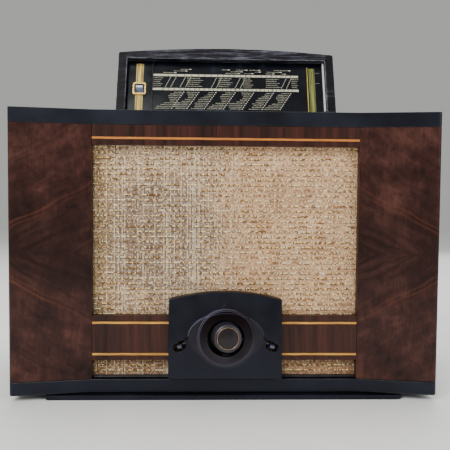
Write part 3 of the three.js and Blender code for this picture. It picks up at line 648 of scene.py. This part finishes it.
def recalculate(piece, collapse=False):
    """Merges doubled corners and turns the faces outwards; can also collapse faces with no area."""
    bm = bmesh.new()
    bm.from_mesh(piece.data)
    bmesh.ops.remove_doubles(bm, verts=bm.verts, dist=1e-7)
    if collapse:
        bmesh.ops.dissolve_degenerate(bm, edges=bm.edges, dist=1e-8)
    bmesh.ops.recalc_face_normals(bm, faces=bm.faces)
    bm.to_mesh(piece.data)
    bm.free()


def baked(item):
    """The mesh of an object with its modifiers, or of a text."""
    return bpy.data.meshes.new_from_object(item.evaluated_get(bpy.context.evaluated_depsgraph_get()))


def carve(piece, cutters):
    """Cuts the cutters out of the piece, after the modifiers it already has."""
    for cut in cutters:
        boolean = piece.modifiers.new("cut", "BOOLEAN")
        boolean.operation, boolean.object, boolean.solver = "DIFFERENCE", cut, "EXACT"
    mesh = baked(piece)
    piece.modifiers.clear()
    piece.data = mesh
    for cut in cutters:
        bpy.data.objects.remove(cut)


def soften(node, radius, material, segments=3, sharp=35, worn=None):
    """Replaces a CAD node by its own shape with rounded edges, which can have a worn look, on the dial frame
    partly a painted highlight.
    """
    bm = bmesh.new()
    bm.from_mesh(NODES[node].data)
    bmesh.ops.remove_doubles(bm, verts=bm.verts, dist=1e-6)
    bmesh.ops.dissolve_limit(bm, angle_limit=math.radians(1), verts=bm.verts, edges=bm.edges)
    limit = math.radians(sharp)
    edges = [e for e in bm.edges if len(e.link_faces) == 2 and e.calc_face_angle(0) > limit]
    rounds = bmesh.ops.bevel(bm, geom=edges, offset=radius * MM, segments=segments, profile=0.5,
                             affect="EDGES", clamp_overlap=True)["faces"]
    for face in bm.faces:
        face.material_index = 0
    if worn:
        for face in rounds:
            face.material_index = 1
    bmesh.ops.triangulate(bm, faces=[f for f in bm.faces if len(f.verts) > 4])
    mesh = bpy.data.meshes.new(f"{node}_fine")
    bm.to_mesh(mesh)
    bm.free()
    for look in filter(None, (material, worn)):
        mesh.materials.append(look)
    piece = link_object(f"{node}_fine", mesh)
    flats = piece.modifiers.new("weighted", "WEIGHTED_NORMAL")
    flats.keep_sharp, flats.weight = False, 60
    keep(piece, node)


def band_faces(rows, count):
    """Quads from each row of points to the next one, all the way round."""
    faces = []
    for a in range(rows):
        b = (a + 1) % rows
        for i in range(count - 1):
            faces.append((a * count + i, a * count + i + 1, b * count + i + 1, b * count + i))
    return faces


def lathe(name, profile, place, material, turns=TURNS):
    """A body of revolution about its local -Y; the profile is (radius, height towards the front)."""
    verts = []
    for t in range(turns):
        angle = 2 * math.pi * t / turns
        verts += [(r * math.cos(angle), -h, r * math.sin(angle)) for r, h in profile]
    piece = link_mesh(name, verts, band_faces(turns, len(profile)), material)
    recalculate(piece, collapse=True)
    piece.data.transform(place)
    return piece


def rounded(points, radius, steps):
    """An open outline with each inner corner rounded."""
    out = [Vector(points[0])]
    for before, corner, after in zip(points, points[1:], points[2:]):
        corner = Vector(corner)
        back, on = Vector(before) - corner, Vector(after) - corner
        reach = min(radius, back.length * 0.45, on.length * 0.45)
        start, end = corner + back.normalized() * reach, corner + on.normalized() * reach
        for i in range(steps + 1):
            t = i / steps
            out.append(start * (1 - t) ** 2 + corner * 2 * t * (1 - t) + end * t * t)
    out.append(Vector(points[-1]))
    return [tuple(p) for p in out]


# ---- cabinet


def soften_all(nodes, radius, material, segments=3):
    for node in nodes:
        soften(node, radius, material, segments)


def dress_cabinet():
    lacquer = black_lacquer()
    edge = rubbed_edge("rubbed_lacquer", rgb(16, 17, 22), rgb(44, 42, 46))
    for node, radius in (("base_board", 1.3), ("top_board", 1.3), ("bottom_bead", 1.9)):
        soften(node, radius, lacquer, worn=edge)
    soften("foot_skid", 0.9, lacquer)
    side = walnut_plain("walnut_side", rgb(33, 19, 14), rgb(78, 46, 31))
    rail = walnut_plain("walnut_rail", rgb(38, 19, 15), rgb(78, 42, 33))
    gold = inlay_veneer("inlay_gold", rgb(222, 164, 66))
    soften_all(("left_wing", "right_wing"), 0.5, walnut_wing())
    soften_all(("left_side", "right_side"), 0.5, side)
    soften_all(("top_rail", "lower_rail_left", "lower_rail_right"), 0.5, rail)
    soften("top_inlay", 0.3, inlay_veneer("inlay_orange", rgb(206, 124, 44)), 2)
    for side_name in ("left", "right"):
        soften_all((f"upper_inlay_{side_name}", f"lower_inlay_{side_name}"), 0.3, gold, 2)
    soften("rear_cover", 0.4, fibreboard(), 2)


# ---- grille cloth


def make_cloth():
    """One stretched sheet, a vertex to each crossing, so that yarns rise and fall in turn."""
    low, high = box_mm("grille_cloth")
    cut_low, cut_high = cloth_opening(low, high)
    middle = (low.y + high.y) / 2
    columns = round((high.x - low.x) / THREAD)
    rows = round((high.z - low.z) / THREAD)
    step_x, step_z = (high.x - low.x) / columns, (high.z - low.z) / rows
    verts, index, faces = [], {}, []
    for i in range(columns + 1):
        for j in range(rows + 1):
            x, z = low.x + i * step_x, low.z + j * step_z
            if cut_low.x < x < cut_high.x and cut_low.z < z < cut_high.z:
                continue
            index[i, j] = len(verts)
            shift = 0.3 * noise.noise(Vector((x * 0.3, z * 0.05, 3)))
            drift = 0.3 * noise.noise(Vector((x * 0.05, z * 0.3, 8)))
            verts.append((x + shift, middle - yarn_height(i, j, x, z), z + drift))
    for i in range(columns):
        for j in range(rows):
            corners = [(i, j), (i + 1, j), (i + 1, j + 1), (i, j + 1)]
            if all(corner in index for corner in corners):
                faces.append([index[corner] for corner in corners])
    cloth = link_mesh("tweed_cloth", verts, faces, tweed())
    keep(cloth, "grille_cloth")


def yarn_height(i, j, x, z):
    """How far a crossing stands forward: over, under, or up on a knot of the thick yarn."""
    weave = 0.14 if (i + j) % 2 else -0.14
    slack = 0.15 * noise.noise(Vector((x * 0.02, z * 0.02, 0)))
    knot = max(0.0, noise.noise(Vector((x * 0.35, z * 0.35, 5)))) if j % BOUCLE == 0 else 0.0
    return weave + slack + 0.7 * knot


def cloth_opening(low, high):
    """The cut behind the escutcheon, read from the corners of the CAD cloth that aren't at its rim."""
    corners = [v.co / MM for v in NODES["grille_cloth"].data.vertices]
    inner = [c for c in corners if low.x + 5 < c.x < high.x - 5 and low.z + 5 < c.z < high.z - 5]
    return (Vector((min(c.x for c in inner), 0, min(c.z for c in inner))),
            Vector((max(c.x for c in inner), 0, max(c.z for c in inner))))


# ---- escutcheon


def smoothstep(value, low, high):
    t = min(1.0, max(0.0, (value - low) / (high - low)))
    return t * t * (3 - 2 * t)


def face_depth(x, z, low):
    """Y of the moulded face: a slope, with lobes beside the ring that fan out to the slots below."""
    plain = FACE_FRONT + (z - low.z) * FACE_SLOPE
    across, up = abs(x - RING.x), z - RING.z
    ellipse = (1 - math.hypot(across / LOBE.half_width, up / LOBE.half_height)) * LOBE.half_height
    crease = (LOBE.crease - 0.9 * (across - LOBE.half_width) - up) * 0.74
    edge = smoothstep(max(ellipse, crease), -0.2, 0.9)
    below = smoothstep(up, -42, -8)
    outside = 1 - smoothstep(across, SLOT.radius - 4, SLOT.radius + 9)
    width = GROOVE.width * (1 + 1.6 * smoothstep(across, GROOVE.start, SLOT.radius))
    groove = math.exp(-((crease / width) ** 2)) * smoothstep(across, GROOVE.start, GROOVE.start + 7)
    return plain + outside * (GROOVE.depth * groove - LOBE.proud * edge * below)


def outline_reach(angle, low, high):
    """Distance from the ring's centre to the escutcheon's outline in this direction."""
    half = (high.x - low.x) / 2
    middle = (high.x + low.x) / 2
    shoulder = high.z - RISE
    radius = (half * half + RISE * RISE) / (2 * RISE)
    centre_z = high.z - radius
    step, reach = 16.0, 30.0
    while step > 0.001:
        x = RING.x + math.cos(angle) * (reach + step)
        z = RING.z + math.sin(angle) * (reach + step)
        inside = abs(x - middle) <= half and z >= low.z
        inside = inside and (z <= shoulder or math.hypot(x - middle, z - centre_z) <= radius)
        if inside:
            reach += step
        else:
            step /= 2
    return reach


def escutcheon_rows(angle, low, high):
    """Points from the back of the bowl's hole, over the ring and face, to the back of the rim."""
    cos, sin = math.cos(angle), math.sin(angle)
    plane, outer, lip, hole = RING.plane, RING.outer, RING.lip, BOWL.hole
    floor = plane + BOWL.depth

    def at(r, y):
        """A point of the bowl or ring; the bowl sinks towards its hole."""
        drop = RING.drop * max(0.0, y - plane) / BOWL.depth if r < outer else 0.0
        return (RING.x + r * cos, y, RING.z + r * sin - min(drop, RING.drop))

    def on_face(r, lift=0.0):
        x, z = RING.x + r * cos, RING.z + r * sin
        return (x, face_depth(x, z, low) + lift, z)

    start = hole + 0.7
    rows = [at(hole, floor + 5), at(hole, floor + 0.8), at(hole + 0.2, floor + 0.3), at(start, floor)]
    for i in range(1, BOWL.steps):
        t = i / BOWL.steps
        rows.append(at(start + (lip - start) * t, floor - (BOWL.depth - 1.6) * t ** 1.35))
    rows += [at(lip + out, plane + back) for out, back in ((0.0, 1.6), (0.35, 0.7), (0.9, 0.15), (1.5, 0.0))]
    rows += [at(outer + out, plane + back) for out, back in ((-0.9, 0.1), (-0.3, 0.5), (0.0, 1.2))]

    start = outer + 0.9
    foot = on_face(start)
    if foot[1] < rows[-1][1] + 0.4:
        rows[-1] = at(outer, min(rows[-1][1], foot[1]))
    x, _, z = on_face(outer + 0.15)
    rows += [(x, max(rows[-1][1], foot[1] - 0.7), z), foot]
    reach = outline_reach(angle, low, high)
    for i in range(1, FACE_STEPS + 1):
        rows.append(on_face(start + (reach - 1.3 - start) * i / FACE_STEPS))
    rows += [on_face(reach - inset, lift) for inset, lift in ((0.7, 0.18), (0.25, 0.6), (0.0, 1.3))]
    x, _, z = on_face(reach)
    return rows + [(x, high.y - 4, z), (x, high.y, z)]


def corner_angles(low, high):
    """Directions to the outline's four corners, so that the mesh keeps them crisp."""
    shoulder = high.z - RISE
    corners = [(high.x, shoulder), (low.x, shoulder), (low.x, low.z), (high.x, low.z)]
    return [math.atan2(z - RING.z, x - RING.x) % (2 * math.pi) for x, z in corners]


def make_escutcheon():
    low, high = box_mm("escutcheon")
    angles = [2 * math.pi * i / RAYS for i in range(RAYS)]
    for corner in corner_angles(low, high):
        nearest = min(range(RAYS), key=lambda i: abs(angles[i] - corner))
        angles[nearest] = corner
    rows = [escutcheon_rows(angle, low, high) for angle in angles]
    verts = [point for row in rows for point in row]
    faces = band_faces(RAYS, len(rows[0]))
    piece = link_mesh("escutcheon_moulding", verts, faces, escutcheon_bakelite())
    thicken = piece.modifiers.new("wall", "SOLIDIFY")
    thicken.thickness, thicken.offset = WALL * MM, -1
    carve(piece, [slot_cutter(side) for side in (-1, 1)])
    recalculate(piece)
    keep(piece, "escutcheon")


def slot_cutter(side):
    """A finger slot's eye-shaped block, on a radius of the ring but tipped further over."""
    reach, angle, tilt = side * SLOT.radius, side * SLOT_ANGLE, side * SLOT_TILT
    centre = (RING.x + reach * math.cos(angle), RING.z + reach * math.sin(angle))
    count = 40
    verts = []
    for y in (-150.0, -112.0):
        for i in range(count):
            turn = 2 * math.pi * i / count
            x, z = (math.copysign(abs(part) ** 0.75, part) for part in (math.cos(turn), math.sin(turn)))
            x, z = x * SLOT.length / 2, z * SLOT.width / 2
            verts.append((centre[0] + x * math.cos(tilt) - z * math.sin(tilt), y,
                          centre[1] + x * math.sin(tilt) + z * math.cos(tilt)))
    faces = [list(range(count)), list(range(2 * count - 1, count - 1, -1))]
    faces += [(i, count + i, count + (i + 1) % count, (i + 1) % count) for i in range(count)]
    cut = link_mesh(f"slot_cut_{side + 1}", verts, faces, None, smooth=False)
    recalculate(cut)
    return cut


# ---- knob


def knob_place():
    """Local to row frame for the knob: -Y runs out along its spin axis, from the gimbal's centre."""
    joint = JOINTS["tuning_spin"]
    axis = Vector(joint["axis"]).normalized()
    turn = Vector((0, -1, 0)).rotation_difference(axis).to_matrix().to_4x4()
    return Matrix.Translation(Vector(joint["pos_m"])) @ turn


def make_cap(place):
    """The cap, turned with a groove for its wire, and paler on its rim than on its face, as a painted sheen.
    """
    face, back, bore, inside = KNOB.face, KNOB.back, KNOB.bore, KNOB.inside
    radius, brass = KNOB.radius, KNOB.brass
    crown = rounded([
        (5.0, inside), (bore, inside), (bore, back),
        (radius - 0.3, back), (radius, back + 1.2), (radius, face - 4.2), (radius - 0.9, face - 1.7),
        (radius - 3.0, face - 0.5), (brass + 0.75, face - 0.35), (brass + 0.6, face - 1.2),
        (brass - 0.6, face - 1.2), (brass - 0.75, face - 0.35), (brass - 2.0, face - 0.3),
        (brass - 7, face + 0.5), (0.0, face + 0.9),
    ], 0.55, 3)
    shell = bakelite("knob_bakelite", rgb(19, 11, 14), rgb(30, 18, 24), (0.24, 0.36))
    cap = lathe("knob_cap_turned", [(0.0, inside), *crown], place, shell)
    # painted sheen: the rim's paler, bluer bakelite stands in for the grey sheen on it
    rim = bakelite("rim_sheen_bakelite", rgb(34, 31, 38), rgb(56, 52, 64), (0.28, 0.42), 0.35)
    cap.data.materials.append(rim)
    for polygon in cap.data.polygons:
        centre = place.inverted() @ polygon.center / MM
        if math.hypot(centre.x, centre.z) > brass + 1.3:
            polygon.material_index = 1
    keep(cap, "knob_cap")


def make_ring(place):
    thick, steps = KNOB.wire, 12
    turns = [2 * math.pi * i / steps for i in range(steps + 1)]
    wire = [(KNOB.brass + thick * math.cos(a), KNOB.face - 0.72 + thick * math.sin(a)) for a in turns]
    ring = lathe("knob_ring_turned", wire, place, metal("aged_brass", rgb(196, 166, 136), (0.3, 0.5)))
    keep(ring, "knob_ring")


def make_skirt(place):
    """The ball-shaped dust cover that closes the bowl's hole however the knob is tilted."""
    arc = [math.radians(a) for a in range(SKIRT.first, SKIRT.last + 1, 2)]
    outer, inner = ([(radius * math.sin(a), radius * math.cos(a)) for a in arc]
                    for radius in (SKIRT.outer, SKIRT.inner))
    ball = lathe("ball_skirt_turned", [*outer, *reversed(inner), outer[0]], place,
                 bakelite("skirt_bakelite", rgb(26, 25, 28), rgb(40, 38, 42)))
    keep(ball, "ball_skirt")


def make_knob():
    """The knob, its skirt, and the lever whose two tabs show in the slots."""
    place = knob_place()
    make_cap(place)
    make_ring(place)
    make_skirt(place)
    soften("wave_lever", 0.6, bakelite("lever_bakelite", rgb(22, 23, 34), rgb(56, 60, 92), (0.1, 0.2), 0.6))


# ---- dial


class DialPrint:
    """Flat printed marks on the dial plate; s runs up the face from its lower window edge."""

    def __init__(self, lift=INK):
        self.lift, self.verts, self.faces = lift, [], []

    def mark(self, x0, x1, s0, s1, slant=0.0):
        start = len(self.verts)
        corners = ((x0, s0), (x1, s0), (x1 + slant, s1), (x0 + slant, s1))
        self.verts += [(x - HINGE.x, DIAL_PLANE - self.lift, s + DIAL_BASE) for x, s in corners]
        self.faces.append(tuple(range(start, start + 4)))

    def word(self, x, s, width, height, seed):
        """A row of small marks of uneven width, as unreadable as print seen from afar."""
        draw = random.Random(seed)
        end = x + width
        while x < end:
            letter = draw.uniform(0.35, 1.0)
            tall = height * draw.choice((0.62, 0.62, 0.7, 1.0))
            self.mark(x, min(x + letter, end), s, s + tall)
            x += letter + draw.uniform(0.25, 0.5)

    def place(self, name, material):
        piece = link_mesh(name, self.verts, self.faces, material, smooth=False)
        recalculate(piece)
        put_on_dial(piece)

    def place_in_ink(self, name, tone, worn):
        self.place(name, print_ink(f"{name}_ink", tone, worn))


def put_on_dial(piece):
    """From X across, Y back into the unit and Z up the dial's face, about the hinge, to the frame's axes."""
    piece.data.transform(Matrix.Translation(HINGE * MM) @ Matrix.Rotation(-DIAL_LEAN, 4, "X"))
    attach(piece, "dial_unit")


def print_scales():
    bars, ticks = DialPrint(), DialPrint(TOP_INK)
    span = BAR_ENDS[1] - BAR_ENDS[0] - 8
    for bar, count in ((BAR_UPPER, 23), (BAR_LOWER, 31)):
        bars.mark(*BAR_ENDS, *bar)
        for i in range(1, count):
            x = BAR_ENDS[0] + 4 + span * (i / count) ** BAR_POWER[bar]
            ticks.mark(x - 0.4, x + 0.4, *bar)
    bars.place_in_ink("scale_bars", rgb(206, 202, 176), rgb(150, 146, 124))
    ticks.place_in_ink("scale_ticks", rgb(30, 32, 36), rgb(60, 60, 60))


def print_stations():
    words, points = DialPrint(), DialPrint(POINT_INK)
    stairs_above(words, points)
    blocks_between(words)
    columns_below(words, points)
    words.place_in_ink("station_rows", rgb(168, 165, 144), rgb(100, 98, 86))
    points.place_in_ink("station_points", rgb(236, 233, 214), rgb(190, 186, 166))


def stairs_above(words, points):
    """Rows over the upper bar, stepped so that each ends at its own point of the scale."""
    stairs = [(-91, 0, 19), (-76, 1, 20), (-66, 2, 16), (-5, 2, 12), (8, 1, 18), (16, 2, 17), (0, 0, 22),
              (28, 0, 14), (36, 2, 16), (44, 1, 9), (60, 0, 13), (62, 1, 22), (72, 2, 25), (83, 0, 7)]
    for seed, (x, level, width) in enumerate(stairs):
        s = 68.6 + 2.9 * level
        words.word(x, s, width - 4, 1.25, seed)
        points.mark(x + width - 3.6, x + width, s + 0.1, s + 0.95)


def blocks_between(words):
    """Left-aligned lists between the bars, divided by pairs of slanted dashed lines."""
    for number, (x, width) in enumerate(((-105.5, 14), (-56, 24), (-10, 21), (26, 15), (60, 22), (98, 10))):
        for row in range(5):
            share = 1 - 0.35 * ((row * 7 + number * 3) % 5) / 5
            words.word(x, 59.6 - 3.3 * row, width * share, 1.35, 100 + number * 10 + row)
    for x in (-88.5, -80.5, -67, -59, -21, -13.5, 14, 21.5, 82, 89.5):
        for i in range(6):
            s = 45.2 + 2.9 * i
            start = x + 0.46 * (s - 45)
            words.mark(start, start + 1.1, s, s + 2.1, 0.9)


def columns_below(words, points):
    """Lists under the lower bar, each row a little further left, so their ends follow a slant."""
    slant, pitch, rows = 0.64, 2.9, 10
    for number, right in enumerate((-60, -38, -13, 15, 42, 71, 97)):
        for row in range(rows):
            s = 36.2 - pitch * row
            end = right - slant * pitch * row
            width = 15 + 4 * math.sin(number * 2.1 + row * 0.9) + (6 if row > 5 else 0)
            words.word(end - width, s, width - 3.2, 1.5, 300 + number * 20 + row)
            points.mark(end - 1.6, end, s + 0.2, s + 1.3)


def print_strips():
    """The gold strips at both ends, with two dots and their leads on the right."""
    strips = (
        ("left_strip", (-131.0, -120.2), (4.0, 83.0), 5.4, rgb(236, 208, 118), rgb(120, 94, 44)),
        ("right_line", (120.9, 122.3), (2.0, 80.5), 2.0, rgb(222, 196, 96), rgb(150, 128, 54)),
        ("right_strip", (124.0, 132.6), (2.0, 79.0), 4.6, rgb(166, 170, 92), rgb(84, 92, 44)),
    )
    for name, ends, heights, half_width, tone, dark in strips:
        strip = DialPrint()
        strip.mark(*ends, *heights)
        strip.place(name, gold_strip(f"{name}_gold", tone, dark, sum(ends) / 2, half_width))
    dots, leads = DialPrint(TOP_INK), DialPrint()
    for s in DOT_HEIGHTS:
        dots.mark(127.2, 128.6, s - 0.7, s + 0.7)
        leads.mark(133.2, 139.6, s - 0.22, s + 0.22)
    dots.place_in_ink("strip_dots", rgb(22, 22, 22), rgb(40, 40, 36))
    leads.place_in_ink("strip_leads", rgb(150, 156, 160), rgb(90, 96, 100))


def print_numbers():
    """Plain wavelength numbers on the upper and lower bars."""
    ink = print_ink("number_ink", rgb(40, 40, 40), rgb(70, 68, 62))
    first, span = BAR_ENDS[0] + 10, 196
    for bar, values in ((BAR_UPPER, range(1, 10)), (BAR_LOWER, range(10, 20))):
        for i, value in enumerate(values):
            x = first + span * ((i + 0.15) / len(values)) ** BAR_POWER[bar]
            number_mark(str(value), x, bar[0] + 0.65, ink)


def number_mark(text, x, s, material):
    curve = bpy.data.curves.new(f"number_{text}", "FONT")
    curve.body, curve.size, curve.align_x = text, 3.51 * MM, "CENTER"
    holder = bpy.data.objects.new(f"number_{text}_text", curve)
    bpy.context.scene.collection.objects.link(holder)
    mesh = baked(holder)
    bpy.data.objects.remove(holder)
    mesh.transform(Matrix.Rotation(math.radians(90), 4, "X"))
    mesh.transform(Matrix.Translation(Vector((x - HINGE.x, DIAL_PLANE - NUMBER_INK, s + DIAL_BASE)) * MM))
    mesh.materials.clear()
    mesh.materials.append(material)
    put_on_dial(link_object(f"number_{text}_{round(s)}", mesh, smooth=False))


def dress_dial():
    # the frame's rounded edges are worn, and their pale grey is also a painted highlight
    edge_gleam = rubbed_edge("rubbed_frame_highlight", rgb(40, 40, 46), rgb(170, 170, 182))
    soften("dial_frame", 1.1, ebonised(), 4, worn=edge_gleam)
    soften("dial_housing", 1.2, painted_steel())
    soften("dial_plate", 0.3, dial_black(), 2)
    soften("eye_bezel", 0.7, metal("eye_gold", rgb(226, 188, 104), (0.2, 0.35)), sharp=60)
    soften("eye_lens", 0.3, eye_glass(), 2)
    soften("edge_diffuser", 0.3, diffuser(), 2)
    print_scales()
    print_stations()
    print_strips()
    print_numbers()


# ---- inside and behind


def dress_inside():
    """The works and fittings keep their CAD shape, with softened edges."""
    steel = metal("zinc_steel", rgb(168, 168, 164), (0.3, 0.5), tarnish=rgb(96, 90, 80))
    aluminium = metal("dull_aluminium", rgb(186, 188, 190), (0.35, 0.55), (0.05, 0.8, 0.8),
                      rgb(120, 118, 112))
    brass = metal("screw_brass", rgb(176, 138, 80), (0.3, 0.5))
    black = painted_steel()
    # near-black, low-sheen steel for the gimbal: a blackened finish, made this dark to stand in for the
    # shade inside the bowl's hole
    blackened_shade_steel = painted_steel("blackened_steel", rgb(6, 6, 6), rgb(13, 13, 14), 0.12)
    looks = (
        (plywood(), ("baffle_board",)),
        (paper(), ("speaker_cone", "aerial_strip")),
        (bakelite("inlet_bakelite"), ("mains_inlet",)),
        (aluminium, ("chassis_tray", "smoothing_capacitor", "if_can_1", "gang_rotor")),
        (black, ("mains_transformer", "output_transformer", "speaker_basket", "dial_well")),
        (valve_glass(), ("valve_1", "valve_2", "valve_3", "dial_lamp_left", "dial_lamp_right")),
        (blackened_shade_steel, ("control_bracket", "tone_yoke")),
        (steel, ("knob_shaft", "gang_frame", "speaker_magnet")),
        (steel, ("hinge_pin_left", "hinge_pin_right", "pointer_rail")),
        (blackened_shade_steel, ("volume_cradle",)),
        (black, ("pointer",)),
    )
    for material, nodes in looks:
        soften_all(nodes, 0.5, material, 2)
    for number in range(1, 5):
        screw_head(f"cover_screw_{number}", brass)


def screw_head(node, material):
    """A slotted round head over the CAD screw's place."""
    low, high = box_mm(node)
    centre = Vector(((low.x + high.x) / 2, 0, (low.z + high.z) / 2))
    front, back = low.y, high.y
    radius = (high.x - low.x) / 2
    rim, shank = back - HEAD_HEIGHT, 1.6
    arc = [math.radians(a) for a in range(0, 91, 9)]
    dome = [(radius * math.sin(a), rim + HEAD_HEIGHT * math.cos(a)) for a in arc]
    profile = [*dome, (radius, rim), (shank, rim), (shank, front + 2), (0.0, front)]
    place = Matrix.Translation(centre * MM)
    piece = lathe(f"{node}_turned", [(r, -y) for r, y in profile], place, material, 32)
    bm = bmesh.new()
    bmesh.ops.create_cube(bm, size=1)
    mesh = bpy.data.meshes.new("slot")
    bm.to_mesh(mesh)
    bm.free()
    mesh.transform(Matrix.Diagonal((radius * 2.4 * MM, 1.6 * MM, 0.9 * MM, 1)))
    mesh.transform(Matrix.Rotation(math.radians(20 + centre.z), 4, "Y"))
    mesh.transform(Matrix.Translation(Vector((centre.x, back, centre.z)) * MM))
    carve(piece, [link_object("screw_slot", mesh, smooth=False)])
    keep(piece, node)


# ---- floor


def make_floor():
    half = 4000
    corners = [(-half, -half, 0), (half, -half, 0), (half, half, 0), (-half, half, 0)]
    link_mesh("floor", corners, [(0, 1, 2, 3)], floor_paint(), smooth=False)


make_camera()
make_studio()
make_floor()
dress_cabinet()
make_cloth()
make_escutcheon()
make_knob()
dress_dial()
dress_inside()
